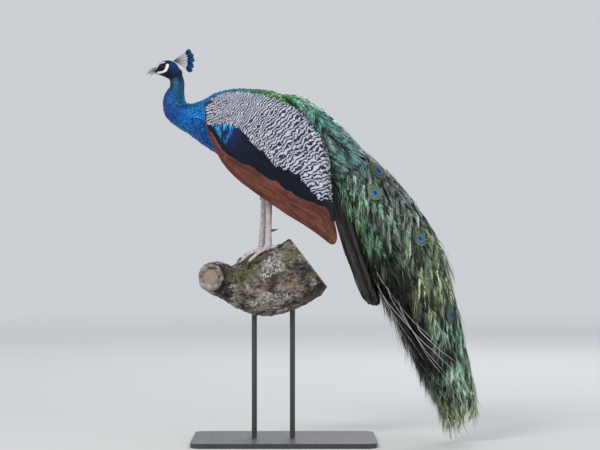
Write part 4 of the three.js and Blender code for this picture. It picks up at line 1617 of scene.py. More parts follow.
def train_bed(sheet):
    """The dark mass of the train well inside its outline."""
    rows, columns = sheet.grid.shape[:2]
    shares = np.linspace(0.0, 1.0, rows)
    middle = sheet.grid[:, :-1].mean(axis=1, keepdims=True)
    reach = np.linalg.norm(sheet.grid - middle, axis=-1, keepdims=True)
    depth = np.interp(shares, [0.0, 0.2, 0.9, 1.0], [0.01, 0.02, 0.02, 0.012])[:, None, None]
    inner = middle + (sheet.grid - middle) * np.clip(1.0 - depth / np.maximum(reach, 1e-6), 0.12, 1.0)
    keep = rows - 4
    taper = np.sqrt(1.0 - ease(0.8, 1.0, np.linspace(0.0, rows / keep, rows)))[:, None, None]
    inner = middle + (inner - middle) * np.maximum(taper, 0.08)
    around = columns - 1
    quads = tube_quads(keep, around)[:, [0, 3, 2, 1]]
    mesh = mesh_from("train_bed", inner[:keep, :-1].reshape(-1, 3), quads)
    ends = bmesh.new()
    ends.from_mesh(mesh)
    ends.verts.ensure_lookup_table()
    rings = [[ends.verts[row * around + index] for index in range(around)] for row in (0, keep - 1)]
    for ring in rings:
        tip = ends.verts.new(sum((vertex.co for vertex in ring), Vector()) / around)
        for index in range(around):
            ends.faces.new([ring[index], ring[(index + 1) % around], tip])
    bmesh.ops.recalc_face_normals(ends, faces=ends.faces)
    ends.to_mesh(mesh)
    ends.free()
    shade_smooth(mesh)
    return mesh


class TrainFeathers:
    """Where each train feather runs on the sheet, and how deep it lies."""

    def __init__(self, rng, count, first, last, shown, depth=(0.002, 0.016)):
        """Feathers that end between first and last along the train and show that much of themselves."""
        self.count = count
        self.tip = np.sort(rng.uniform(first, last, count))
        self.start = np.maximum(self.tip - shown * rng.uniform(0.75, 1.2, count), 0.0)
        self.across = rng.uniform(-1.0, 1.0, count)
        self.drift = rng.normal(0.0, 0.05, count)
        self.depth = rng.uniform(*depth, count)
        self.chance = rng.random(count)
        self.wave = rng.uniform(0.0, 6.28, count)
        self.bare = 0.0

    def at(self, which, share):
        """Along and across on the sheet, for the chosen feathers at the shares of their length."""
        along = self.start[which] + (self.tip - self.start)[which] * share
        bend = 0.012 * np.sin(share * 5.0 + self.wave[which])
        return along, self.across[which] + self.drift[which] * share ** 2 + bend


# The lowest that the train's loose barbs may hang above the floor.
FLOOR_GAP = 0.004


# How many neighbouring barbs lean together.
CLUMP = 9


class Clumps:
    """Random numbers that the barbs of one clump have largely in common."""

    def __init__(self, which, order, hand, rng):
        self.clump = np.unique(which * 4000 + order // CLUMP * 4 + (hand > 0.0), return_inverse=True)[1]
        self.rng = rng

    def draw(self, low, high, own=0.3):
        """One number per barb, of which the share called own is the barb's alone."""
        together = self.rng.uniform(low, high, self.clump.max() + 1)[self.clump]
        return together * (1.0 - own) + self.rng.uniform(low, high, len(self.clump)) * own


def barb_roots(sheet, feathers, spacing, rng):
    """Each barb's feather, its number and share along that feather, and the side it grows on."""
    spans = (feathers.tip - feathers.start) * sheet.length
    counts = np.maximum((spans / spacing).astype(int), 4)
    which = np.repeat(np.arange(feathers.count), counts)
    order = np.concatenate([np.arange(count) for count in counts])
    share = (order + rng.random(len(order))) / np.repeat(counts, counts)
    hand = np.where(rng.random(len(share)) < 0.5, -1.0, 1.0)
    return which, order, share, hand


def barb_reach(length, angle, curl, steps):
    """How far ahead and aside of its root each barb has come at its steps."""
    turn = angle[:, None] + curl[:, None] * steps[None] * 0.8
    stride = length[:, None] / (len(steps) - 1)
    ahead = np.cumsum(np.cos(turn) * stride, axis=1) - np.cos(turn[:, :1]) * stride
    aside = np.cumsum(np.sin(turn) * stride, axis=1) - np.sin(turn[:, :1]) * stride
    return ahead, aside


def lay_barbs(sheet, feathers, spacing, long, wide, droop, rng, splay=(0.35, 0.75), lift=0.004):
    """Loose barbs down both sides of each train feather, as thin curved strips."""
    which, order, share, hand = barb_roots(sheet, feathers, spacing, rng)
    along, across = feathers.at(which, share)
    count = len(which)
    clumps = Clumps(which, order, hand, rng)
    length = long * clumps.draw(0.5, 1.3) * np.interp(share, [0.0, 0.75, 1.0], [0.9, 1.0, 0.7])
    steps = np.linspace(0.0, 1.0, 5)
    ahead, aside = barb_reach(length, clumps.draw(*splay), clumps.draw(-1.0, 0.3), steps)
    breadth = sheet.width_at(along)[:, None]
    path = along[:, None] + ahead / sheet.length
    sway = wrapped(across[:, None] + hand[:, None] * aside / breadth)
    lines, normals = sheet.at(path, sway)
    depth = feathers.depth[which] + rng.normal(0.0, 0.0015, count)
    rise = clumps.draw(-0.5, 1.2) * lift
    lines = lines + normals * (-depth[:, None] + rise[:, None] * steps[None] ** 1.5)[..., None]
    fall = droop * length * clumps.draw(0.0, 1.2)
    lines = lines + DOWN * (fall[:, None] * steps[None] ** 2)[..., None]
    lines[..., 2] = np.maximum(lines[..., 2], FLOOR_GAP)
    outline = np.array([0.9, 1.0, 0.85, 0.6, 0.18])
    tilt = rng.normal(0.0, 0.5, count)
    batch = Vanes(lines, normals, wide * rng.uniform(0.7, 1.3, count), steps, 2, outline,
                  np.zeros((count, len(steps))), np.zeros(count), tilt * wide * 0.5)
    chance = feathers.chance[which] * 0.35 + clumps.draw(0.0, 1.0, 0.25) * 0.65
    batch.tell_each(chance=np.clip(chance, 0.0, 1.0))
    batch.tell_each(place=along, around=np.abs(wrapped(across)), share=share)
    batch.map_at((wrapped(across) + 1.0) / 2.0, np.clip(along, 0.0, 1.0), 0.003)
    return batch


def lay_shafts(sheet, feathers, wide, rng):
    """The stiff shaft of each train feather, as a narrow ridged strip."""
    rows = 18
    share = np.broadcast_to(np.linspace(0.0, 1.0, rows), (feathers.count, rows))
    along, across = feathers.at(np.arange(feathers.count)[:, None], share)
    lines, normals = sheet.at(along, wrapped(across))
    sunk = feathers.bare * (1.0 - ease(0.0, 0.22, share)) * 0.018
    lines = lines - normals * (feathers.depth[:, None] - 0.0012 + sunk)[..., None]
    outline = np.linspace(1.0, 0.3, rows)
    width = wide * rng.uniform(0.8, 1.2, feathers.count)
    batch = Vanes(lines, normals, width, share[0], 3, outline, np.zeros((feathers.count, rows)),
                  width * 0.5)
    batch.tell_each(chance=feathers.chance)
    batch.tell("place", along[:, :, None])
    batch.tell_each(around=np.abs(wrapped(feathers.across)))
    batch.tell_each(share=feathers.bare + (1.0 - feathers.bare) * feathers.chance * 0.45)
    batch.map_at((wrapped(feathers.across) + 1.0) / 2.0, feathers.start, 0.003)
    return batch


def train_colours(paint):
    """The train's colours by place: green and bronze on the outside, near black underneath, where painted
    shade lies over the dull undersides; the bright teal near the root holds a painted highlight.
    """
    cloud = paint.scaled(paint.noise(14.0, 3.0), 0.16, -0.08)
    where = paint.plus(paint.value("place"), cloud)
    outer = paint.ramp(where, [
        (0.0, (0.09, 0.26, 0.07)),
        (0.04, (0.05, 0.23, 0.11)),
        # The bright teal at 0.1 is the root feathers' own teal lifted by a painted highlight.
        (0.1, (0.05, 0.3, 0.26)),
        (0.2, (0.08, 0.21, 0.205)),
        (0.32, (0.18, 0.24, 0.235)),
        (0.45, (0.24, 0.32, 0.245)),
        (0.58, (0.23, 0.31, 0.16)),
        (0.68, (0.37, 0.49, 0.22)),
        (0.78, (0.3, 0.54, 0.41)),
        (0.88, (0.48, 0.7, 0.48)),
        (1.0, (0.76, 0.88, 0.54)),
    ])
    # Underneath: the near-black band from 0.5 to 0.8 is painted shade over the feathers' dull undersides.
    under = paint.ramp(where, [
        (0.0, (0.012, 0.08, 0.04)),
        (0.22, (0.06, 0.16, 0.11)),
        (0.32, (0.23, 0.44, 0.28)),
        (0.42, (0.22, 0.5, 0.27)),
        (0.5, (0.022, 0.06, 0.024)),
        (0.55, (0.006, 0.007, 0.006)),
        (0.8, (0.006, 0.008, 0.01)),
        (0.9, (0.13, 0.2, 0.1)),
        (1.0, (0.52, 0.64, 0.34)),
    ])
    ragged = paint.scaled(paint.noise(22.0, 3.0), 0.4, paint.value("around"))
    return paint.mix(paint.spread(ragged, 0.56, 0.84), outer, under)


def colour_light(paint, colour):
    """How light a colour is, from its green share."""
    split = paint.nodes.new("ShaderNodeSeparateColor")
    paint.join(colour, split.inputs[0])
    return split.outputs[1]


def barb_paint():
    """Loose silky barbs, each strand in its own tone from black to grey-green; painted shade lies between
    clumps and painted sheen greys and lights some strands.
    """
    paint = Paint("train_barbs", Metallic=0.2, Roughness=0.45, Specular_IOR_Level=0.35)
    colour = train_colours(paint)
    chance = paint.value("chance")
    patch = paint.noise(20.0, 2.0)
    olive = paint.spread(patch, 0.56, 0.66, 0.0, 0.55)
    colour = paint.mix(olive, colour, (0.12, 0.09, 0.055))
    # Painted sheen: cloudy patches turned silver grey, standing in for the strands' gloss.
    grey = paint.spread(paint.noise(27.0, 2.0), 0.5, 0.64, 0.15, 0.75)
    light = colour_light(paint, colour)
    painted_sheen_grey = paint.ramp(light, [(0.0, (0.004, 0.004, 0.005)), (0.12, (0.16, 0.17, 0.18))])
    colour = paint.mix(grey, colour, painted_sheen_grey)
    # Painted shade: dark streaks where the hanging clumps part, a little lighter between them.
    gaps = paint.noise(70.0, 3.0, stretch=(1.5, 1.0, 0.35))
    colour = paint.shade(colour, paint.spread(gaps, 0.4, 0.56, 0.08, 1.35))
    colour = paint.shade(colour, paint.spread(chance, 0.24, 0.48, 0.04, 1.0))
    # Painted highlight: the lightest strands are made up to two and a half times brighter.
    colour = paint.shade(colour, paint.spread(chance, 0.6, 0.85, 1.0, 2.5))
    paint.colour(colour)
    paint.rough(paint.spread(paint.noise(90.0), 0.3, 0.7, 0.34, 0.55))
    return paint.material


def shaft_paint():
    """Pale horny shafts, whiter where they are bare."""
    paint = Paint("train_shafts", Roughness=0.38, Specular_IOR_Level=0.5)
    tone = paint.scaled(paint.noise(70.0), 0.4, paint.value("share"))
    paint.colour(paint.ramp(tone, [
        (0.2, (0.1, 0.085, 0.055)),
        (0.7, (0.3, 0.26, 0.19)),
        (1.1, (0.66, 0.64, 0.6)),
    ]))
    paint.bump(paint.noise(600.0), 0.2, 0.0003)
    return paint.material


def eye_spot_paint():
    """The train's eye spots: a deep blue heart in cyan, bronze and a yellow-green ring."""
    paint = Paint("eye_spots", Metallic=0.45, Roughness=0.38, Specular_IOR_Level=0.6)
    across = paint.value("across")
    along = paint.scaled(paint.value("along"), 2.0, -1.12)
    swell = paint.times(paint.size(across), -0.16)
    lower = paint.plus(along, swell)
    squared = paint.plus(paint.times(across, across), paint.times(lower, lower))
    ring = paint.math("SQRT", squared)
    ring = paint.scaled(paint.noise(160.0, 2.0), 0.1, ring)
    colour = paint.ramp(paint.minus(ring, 0.05), [
        (0.0, (0.008, 0.008, 0.06)),
        (0.26, (0.014, 0.03, 0.17)),
        (0.34, (0.022, 0.14, 0.32)),
        (0.47, (0.04, 0.19, 0.29)),
        (0.54, (0.07, 0.045, 0.026)),
        (0.7, (0.11, 0.08, 0.036)),
        (0.77, (0.15, 0.18, 0.05)),
        (0.86, (0.06, 0.13, 0.06)),
        (1.0, (0.05, 0.11, 0.06)),
    ])
    colour = paint.vary(colour, 0.7, 1.3)
    paint.colour(colour)
    paint.bump(paint.barbs(across, 14.0, 90.0), 0.3, 0.0006)
    return paint.material


# Where each eye spot shows, along and across the train: four on the near side, the rest on the far side.
# The near ones stand out from the barbs by their own heights, and the far ones by one.
EYE_SPOTS = np.array([
    (0.342, -0.44), (0.3, -0.24), (0.5, -0.3), (0.7, -0.26),
    (0.27, 0.28), (0.335, 0.56), (0.385, 0.2), (0.445, 0.46), (0.515, 0.26),
    (0.56, 0.6), (0.625, 0.38), (0.69, 0.18), (0.735, 0.52), (0.81, 0.32),
])
NEAR_SPOT_HEIGHTS = (0.012, 0.0095, 0.004, 0.004)
FAR_SPOT_HEIGHT = 0.002


def eye_spots(sheet, rng):
    """The eye spots as small round vanes on the outside of the train."""
    along, across = EYE_SPOTS.T
    count = len(along)
    height = np.full(count, FAR_SPOT_HEIGHT)
    height[:len(NEAR_SPOT_HEIGHTS)] = NEAR_SPOT_HEIGHTS
    length = 0.05 * rng.uniform(0.85, 1.1, count)
    batch = sheet_vanes(sheet, along, across, length, length * 0.84, 9, 9, 0.0006, rng,
                        widest=0.55, root=0.35, camber=0.04, base=height[:, None])
    batch.tell_each(place=along)
    batch.map_at((across + 1.0) / 2.0, along, 0.035)
    return batch


def upper_scales(sheet, rng):
    """The green scaly feathers at the train's root, longer and narrower further back."""
    def step(place):
        return (0.0065 + 0.03 * place) / sheet.length

    def row_count(place):
        return 2.0 * sheet.width_at(place) / (0.0072 + 0.004 * place)

    along, share = staggered(0.0, 0.24, step, row_count, rng)
    across = share * 2.0 - 1.0
    count = len(along)
    length = (0.017 + 0.17 * along) * rng.uniform(0.85, 1.2, count)
    width = (0.0095 + 0.006 * along) * rng.uniform(0.8, 1.2, count)
    rise = (0.0022 + 0.006 * along) * rng.uniform(0.4, 1.6, count)
    drift = rng.normal(0.0, 0.012, count)
    base = -0.004 * (1.0 - ease(0.0, 0.06, along))[:, None]
    batch = sheet_vanes(sheet, along, wrapped(across), length, width, 6, 5, rise, rng, drift=drift, base=base)
    batch.tell_each(place=along, around=np.abs(across))
    batch.map_at(share, along * 3.0, 0.009)
    return batch


def scale_paint():
    """Green scaly feathers with dark centres near the shaft, black rims and bronze glints."""
    paint = Paint("train_scales", Metallic=0.45, Roughness=0.4, Specular_IOR_Level=0.6)
    colour = train_colours(paint)
    grey = paint.spread(paint.noise(24.0, 2.0), 0.46, 0.62, 0.12, 0.7)
    colour = paint.mix(grey, colour, (0.19, 0.245, 0.215))
    colour = feather_tones(paint, colour, (0.004, 0.014, 0.01), 0.7)
    paint.colour(colour)
    paint.bump(paint.barbs(paint.value("across"), 12.0, 60.0), 0.25, 0.0004)
    return paint.material


# Where each bare shaft starts and ends along the train, where across it starts, and how far it drifts.
BARE_SHAFTS = np.array([
    (0.5, 0.915, 0.95, -0.04),
    (0.47, 0.935, 0.92, -0.7),
    (0.49, 0.81, 0.8, -0.36),
    (0.56, 0.9, 0.78, -0.33),
    (0.7, 0.865, 0.65, -0.4),
    (0.66, 0.89, 0.92, -0.28),
    (0.52, 0.87, 0.87, -0.2),
    (0.6, 0.96, 0.72, -0.3),
])
# Each bare shaft grows twice: as listed, and mirrored to the bird's other side.
BOTH_HANDS = np.array([(1.0, 1.0, -1.0, -1.0), (1.0, 1.0, 1.0, 1.0)])

# The train's four bands of barbs: the node each stands for, how many feathers it has, where along the train
# they end, how much of them shows, and the spacing, length and width of their barbs.
BARB_BANDS = [
    ("root", 60, 0.16, 0.42, 0.22, 0.0019, 0.032, 0.0014),
    ("upper", 75, 0.38, 0.66, 0.32, 0.0018, 0.044, 0.0014),
    ("lower", 75, 0.6, 0.88, 0.34, 0.0018, 0.047, 0.0014),
    ("tip", 105, 0.82, 0.995, 0.26, 0.0017, 0.042, 0.0013),
]


def dress_barbs(sheet, rng):
    """Lays the train's barbs and the loose tufts over them, and gives back the feathers' shafts."""
    look = barb_paint()
    shafts = []
    for band, count, first, last, shown, spacing, long, wide in BARB_BANDS:
        feathers = TrainFeathers(rng, count, first, last, shown)
        barbs = lay_barbs(sheet, feathers, spacing, long, wide, 0.45, rng)
        tufts = TrainFeathers(rng, count // 2, first, last, 0.12, depth=(-0.007, 0.003))
        tufts = lay_barbs(sheet, tufts, 0.0018, long * 1.2, wide, 0.7, rng, splay=(0.2, 0.9), lift=0.014)
        name = f"train_barbs_{band}"
        add_piece(name, vanes_mesh(name, [barbs, tufts]), look, [f"train_{band}"])
        shafts.append(lay_shafts(sheet, feathers, 0.0013, rng))
    return shafts


def lay_bare_shafts(sheet, rng):
    """The long pale shafts that stand bare along the train's lower edge."""
    spots = np.array([spot * hand for spot in BARE_SHAFTS for hand in BOTH_HANDS])
    bare = TrainFeathers(rng, len(spots), 0.8, 0.98, 0.42, depth=(-0.012, -0.007))
    bare.start, bare.tip, bare.across, bare.drift = spots.T
    bare.bare = 1.0
    return lay_shafts(sheet, bare, 0.0019, rng)


def dress_train():
    """The train: a dark bed, scaly feathers at its root, shafts, loose barbs and eye spots."""
    solid = fused("train_solid", TRAIN_RUN + ["rump"], VOXELS["train"])
    put_points(solid, relaxed(points_of(solid), edges_of(solid), 12))
    sheet = train_sheet(train_course(), tree_of(solid))
    bpy.data.meshes.remove(solid)
    rng = draws("train")
    bed = train_bed(sheet)
    look = bed_paint("train_bed", (0.006, 0.009, 0.007), (0.016, 0.024, 0.016))
    add_piece("train_bed", bed, look, TRAIN_RUN)
    shafts = dress_barbs(sheet, rng)
    shafts.append(lay_bare_shafts(sheet, rng))
    add_piece("train_shafts", vanes_mesh("train_shafts", shafts), shaft_paint(), TRAIN_RUN)
    mesh = vanes_mesh("train_scales", [upper_scales(sheet, rng)])
    add_piece("train_scales", mesh, scale_paint(), ["train_root"])
    mesh = vanes_mesh("train_eye_spots", [eye_spots(sheet, rng)])
    add_piece("train_eye_spots", mesh, eye_spot_paint(), TRAIN_RUN)


# ---------------------------------------------------------------- eyes, bill, claws and crest

def make_eye(side):
    """A round eye with a raised clear front; ring says how far each vertex is from its middle."""
    centre, radius, outward, upward, forward = eye_frame(side)
    rows, columns = 34, 48
    angles = np.linspace(0.03, math.pi - 0.03, rows)
    turns = np.linspace(0.0, 2.0 * math.pi, columns, endpoint=False)
    bulge = 1.0 + 0.035 * np.exp(-(angles / 0.55) ** 2)
    out = (radius * 0.985 * bulge * np.cos(angles))[:, None, None] * outward
    around = upward * np.cos(turns)[:, None] + forward * np.sin(turns)[:, None]
    ring = (radius * 0.985 * bulge * np.sin(angles))[:, None, None] * around[None]
    points = (centre + out + ring).reshape(-1, 3)
    mesh = mesh_from(f"eyeball_{side}", points, tube_quads(rows, columns))
    ends = bmesh.new()
    ends.from_mesh(mesh)
    ends.verts.ensure_lookup_table()
    for row in (0, rows - 1):
        ends.faces.new([ends.verts[row * columns + index] for index in range(columns)])
    bmesh.ops.recalc_face_normals(ends, faces=ends.faces)
    ends.to_mesh(mesh)
    ends.free()
    shade_smooth(mesh)
    put_value(mesh, "ring", np.repeat(angles, columns))
    return mesh


def eye_paint():
    """A wet dark eye: black pupil, brown iris with fine streaks, clear glossy front."""
    paint = Paint("eye", Roughness=0.3, Coat_Weight=0.35, Coat_Roughness=0.02, Specular_IOR_Level=0.05)
    streaks = paint.scaled(paint.noise(900.0, 3.0), 0.12, paint.value("ring"))
    paint.colour(paint.ramp(streaks, [
        (0.6, (0.0006, 0.0006, 0.0006)),
        (0.65, (0.032, 0.013, 0.006)),
        (0.84, (0.048, 0.02, 0.008)),
        (0.96, (0.01, 0.006, 0.004)),
        (1.06, (0.004, 0.004, 0.004)),
    ]))
    return paint.material


def slab_edge(points, knots, lowest):
    """The lowest or highest z near each x of the knots."""
    edge = []
    for knot in knots:
        near = points[np.abs(points[:, 0] - knot) < 0.0011, 2]
        edge.append(np.nan if len(near) == 0 else (near.min() if lowest else near.max()))
    edge = np.array(edge)
    known = ~np.isnan(edge)
    edge = np.interp(knots, knots[known], edge[known])
    return np.convolve(np.pad(edge, 3, mode="edge"), np.ones(7) / 7.0, mode="valid")


def shape_upper_bill(points, share):
    """Hooks the tip and sinks the nostrils, and gives back how deep each vertex lies in a nostril."""
    low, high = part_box("bill_upper")
    hook = (1.0 - ease(low.x, low.x + 0.0075, points[:, 0])) ** 2
    points[:, 2] = np.maximum(points[:, 2] - hook * 0.0016, low.z)
    long = (share - 0.66) / 0.085
    tall = (points[:, 2] - (low.z + (high.z - low.z) * (0.42 + 0.32 * share))) / 0.00085
    pit = np.exp(-(long ** 4) - tall ** 2) * (np.abs(points[:, 1]) > 0.0018)
    points[:, 1] -= np.sign(points[:, 1]) * pit * 0.0012
    points[:, 1] += np.sign(points[:, 1]) * ease(0.74, 0.86, share) * 0.0004
    return pit


def shape_lower_bill(points, share, knots, edge):
    """Raises the lower half to the upper one's edge and makes it slim at the rear."""
    over = fused("over", ["bill_upper"], VOXELS["bill"], 0.0003)
    line = slab_edge(points_of(over), knots, True)
    bpy.data.meshes.remove(over)
    raise_by = np.interp(points[:, 0], knots, line) - edge - 0.0002
    points[:, 2] += np.clip(raise_by, -0.0005, 0.0022)
    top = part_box("bill_lower")[1].z
    rear = ease(0.36, 0.8, share)
    points[:, 2] = top - (top - points[:, 2]) * (1.0 - 0.48 * rear)
    points[:, 1] *= 1.0 - 0.2 * rear


def make_bill(name, node):
    """Half of the bill, seated in the face; the halves meet along one line and the tip is hooked."""
    mesh = fused(name, [node], VOXELS["bill"], 0.0003)
    points = relaxed(points_of(mesh), edges_of(mesh), 22)
    low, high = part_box(node)
    points[:, 0] = high.x - (high.x - points[:, 0]) * (high.x - low.x) / (high.x - points[:, 0].min())
    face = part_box("head")[0].x
    points[:, 0] += ease(face - 0.0005, face + 0.004, points[:, 0]) * 0.004
    share = (points[:, 0] - low.x) / (high.x - low.x)
    knots = np.arange(low.x, high.x + 0.004, 0.0006)
    upper = node == "bill_upper"
    edge = np.interp(points[:, 0], knots, slab_edge(points, knots, upper))
    taper = np.clip((points[:, 0] - low.x + 0.0004) / 0.0085, 0.03, 1.0)
    points[:, 2] = edge + (points[:, 2] - edge) * taper ** (0.45 if upper else 0.7)
    points[:, 1] *= taper ** 0.55
    pit = np.zeros(len(points))
    if upper:
        pit = shape_upper_bill(points, share)
    else:
        shape_lower_bill(points, share, knots, edge)
    put_points(mesh, points)
    put_value(mesh, "share", share)
    put_value(mesh, "pit", pit)
    shade_smooth(mesh)
    return mesh


def bill_paint():
    """Grey horn: paler towards the tip, with growth lines along it and painted shade in the nostrils."""
    paint = Paint("bill", Roughness=0.42, Specular_IOR_Level=0.5, Coat_Weight=0.15)
    tone = paint.scaled(paint.noise(260.0, 4.0, stretch=(0.25, 1.0, 1.0)), 0.35, paint.value("share"))
    colour = paint.ramp(tone, [
        (0.1, (0.4, 0.385, 0.385)),
        (0.6, (0.3, 0.29, 0.305)),
        (1.0, (0.19, 0.185, 0.2)),
        (1.3, (0.13, 0.125, 0.14)),
    ])
    # Painted shade: the shallow nostril pits turn near black, as deep nostrils look in shade.
    pit = paint.spread(paint.value("pit"), 0.25, 0.7, 0.0, 0.95)
    paint.colour(paint.mix(pit, colour, (0.012, 0.01, 0.01)))
    paint.bump(paint.noise(900.0, 3.0, stretch=(0.2, 1.0, 1.0)), 0.3, 0.0003)
    return paint.material


# How far each claw's root is drawn into its toe.
CLAW_SEAT = 0.0035


def make_claws(side):
    """The four claws and the spur of one foot, smoothed, with the claws' roots drawn into the toes."""
    nodes = [f"claw_{toe}_{side}" for toe in ("inner", "middle", "outer", "hind")] + [f"spur_{side}"]
    mesh = fused(f"claws_{side}", nodes, VOXELS["claws"], 0.0002)
    points = relaxed(points_of(mesh), edges_of(mesh), 10)
    foot = cad_points(f"foot_{side}")
    owner = nearest_node(points, nodes)
    for index in range(len(nodes) - 1):
        mine = owner == index
        gap = np.min(np.linalg.norm(points[mine][:, None] - foot[None], axis=2), axis=1)
        middle = points[mine].mean(axis=0)
        base = points[mine][gap < np.quantile(gap, 0.2)].mean(axis=0)
        inward = unit(base - middle)
        reach = (points[mine] - middle) @ inward
        points[mine] += inward * (ease(0.0, 1.0, reach / reach.max())[:, None] ** 1.5 * CLAW_SEAT)
    put_points(mesh, points)
    return mesh, nodes


def claw_paint():
    """Dark brown horn, streaked along its length and worn paler at the points."""
    paint = Paint("claw", Roughness=0.4, Coat_Weight=0.2)
    paint.colour(paint.ramp(paint.noise(300.0, 4.0, stretch=(1.0, 1.0, 0.3)), [
        (0.3, (0.045, 0.036, 0.03)),
        (0.7, (0.13, 0.108, 0.09)),
    ]))
    paint.bump(paint.noise(1400.0, 2.0), 0.3, 0.0003)
    return paint.material


def crest_frame():
    """The crest's root, its length and its fan, from the CAD crest."""
    points = cad_points("crest")
    root = points[points[:, 0] < points[:, 0].min() + 0.003].mean(axis=0)
    offset = points - root
    reach = np.hypot(offset[:, 0], offset[:, 2])
    far = reach > reach.max() * 0.9
    angles = np.arctan2(offset[far, 2], offset[far, 0])
    return root, reach.max(), angles.min(), angles.max()


class Crest:
    """The crest's feathers: how each one runs in the fan from the crown."""

    def __init__(self, count, rng):
        root, reach, low, high = crest_frame()
        self.count = count
        self.angle = np.linspace(low + 0.05, high - 0.05, count) + rng.normal(0.0, 0.015, count)
        lean = rng.normal(0.0, 0.022, count)
        self.length = reach * rng.uniform(0.88, 1.0, count)
        self.heads = np.stack([np.cos(self.angle), lean * 1.2, np.sin(self.angle)], 1)
        self.foot = root + np.array([-0.001, 0.0, -0.0035])
        roll = rng.normal(0.0, 0.4, count)
        self.faces = np.stack([np.sin(roll), -np.cos(roll), np.zeros(count)], 1)[:, None]

    def at(self, share, which=slice(None)):
        """Points at shares of the chosen feathers' length; they bow down a little towards the tip."""
        points = self.foot + self.heads[which, None] * (self.length[which, None] * share)[..., None]
        points[..., 2] -= 0.003 * share ** 2 * np.cos(self.angle[which])[:, None]
        return points


def crest_vanes(lines, normals, width, share, columns, outline, camber):
    """Flat vanes of the crest, which lie on nothing."""
    normals = np.broadcast_to(normals, lines.shape)
    return Vanes(lines, normals, width, share, columns, outline, np.zeros(lines.shape[:2]), camber)


def crest_hairs(crest, spot, places, normals):
    """Short hairs on both sides of the bare shafts, at the given places of the feathers in spot."""
    hand = np.where(np.arange(len(spot)) % 2 == 0, -1.0, 1.0)
    side = np.cross(crest.heads[spot], normals[spot, 0])
    reach = crest.heads[spot] * 0.8 + side * hand[:, None] * 0.6
    share = np.linspace(0.0, 1.0, 3)
    lines = crest.at(places[:, None], spot) + reach[:, None] * (0.0026 * share)[None, :, None]
    width = np.full(len(spot), 0.0003)
    return crest_vanes(lines, normals[spot, :1], width, share, 2, np.array([1.0, 0.7, 0.2]), width * 0.0)


def make_crest():
    """Bare shafts that fan out from the crown, each ending in a spoon of blue barbs."""
    rng = draws("crest")
    crest = Crest(20, rng)
    count = crest.count
    steps = np.linspace(0.0, 1.0, 9)
    lines = crest.at(steps)
    normals = flat(np.repeat(crest.faces, len(steps), axis=1), unit(np.gradient(lines, axis=1)))
    thin = np.full(count, 0.0007)
    batches = [crest_vanes(lines, normals, thin, steps, 3, np.linspace(1.0, 0.5, 9), np.full(count, 0.0003))]
    share = np.linspace(0.0, 1.0, 14)
    beside = np.cross(crest.heads, normals[:, 0])[:, None]
    for tilt, wide in ((0.0, 0.0088), (1.1, 0.006)):
        turned = unit(normals[:, :1] * math.cos(tilt) + beside * math.sin(tilt))
        width = wide * rng.uniform(0.8, 1.15, count)
        tips = crest.at(0.7 + 0.3 * share)
        outline = vane_outline(share, 0.66, 0.12, 0.3)
        batches.append(crest_vanes(tips, turned, width, share, 7, outline, width * 0.15))
    hairs = 14
    spot = np.repeat(np.arange(count), hairs)
    batches.append(crest_hairs(crest, spot, np.tile(np.linspace(0.18, 0.68, hairs), count), normals))
    owners = [np.arange(count)] * 3 + [spot]
    for index, (batch, owner) in enumerate(zip(batches, owners)):
        batch.tell_each(chance=rng.random(count)[owner])
        batch.tell("tip", 1.0 if index in (1, 2) else 0.0)
        batch.map_at(owner / count, 0.15 + index * 0.22, 0.03)
    return vanes_mesh("crest_feathers", batches)


def crest_paint():
    """Dark bare shafts and blue-green spoon-shaped tips."""
    paint = Paint("crest", Metallic=0.45, Roughness=0.4)
    along = paint.value("along")
    blue = paint.ramp(paint.scaled(paint.noise(300.0), 0.4, along), [
        (0.2, (0.003, 0.01, 0.03)),
        (0.6, (0.004, 0.035, 0.2)),
        (0.9, (0.006, 0.07, 0.34)),
        (1.2, (0.006, 0.11, 0.2)),
    ])
    blue = paint.vary(blue, 0.35, 1.5)
    blue = paint.rimmed(blue, 0.6, 0.8, (0.003, 0.008, 0.022))
    paint.colour(paint.mix(paint.value("tip"), (0.06, 0.055, 0.05), blue))
    paint.bump(paint.sine(paint.times(paint.value("across"), 30.0)), 0.3, 0.0003)
    return paint.material


def dress_head():
    """The eyes, both halves of the bill, and the crest."""
    look = eye_paint()
    for side in SIDES:
        add_piece(f"eyeball_{side}", make_eye(side), look, [f"eye_{side}"])
    look = bill_paint()
    add_piece("bill_top", make_bill("bill_top", "bill_upper"), look, ["bill_upper"])
    add_piece("bill_bottom", make_bill("bill_bottom", "bill_lower"), look, ["bill_lower"])
    add_piece("crest_feathers", make_crest(), crest_paint(), ["crest"])


# ---------------------------------------------------------------- tail, thighs and legs

def tail_course():
    """The line down the middle of the tail."""
    low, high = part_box("tail")
    return Course([
        (low.x + 0.012, 0.0, high.z - 0.02),
        ((low.x * 0.55 + high.x * 0.45), 0.0, (low.z * 0.45 + high.z * 0.55)),
        (high.x - 0.008, 0.0, low.z),
    ])


def tail_roots(course, seeds):
    """Picks the feathers' roots from the seeds: rings down the tail, each turned against the next."""
    travel = course.beside(seeds)[0]
    roots = []
    for step, stop in enumerate(np.arange(0.02, 0.8, 0.085) * course.length):
        near = seeds[np.abs(travel - stop) < 0.012]
        turns = np.arctan2(near[:, 1], (near[:, 0] - near[:, 0].mean()) * 2.5)
        for turn in np.linspace(-math.pi, math.pi, 24, endpoint=False) + 0.13 * (step % 2):
            roots.append(near[np.argmin(np.abs(turns - turn))])
    return np.array(roots)


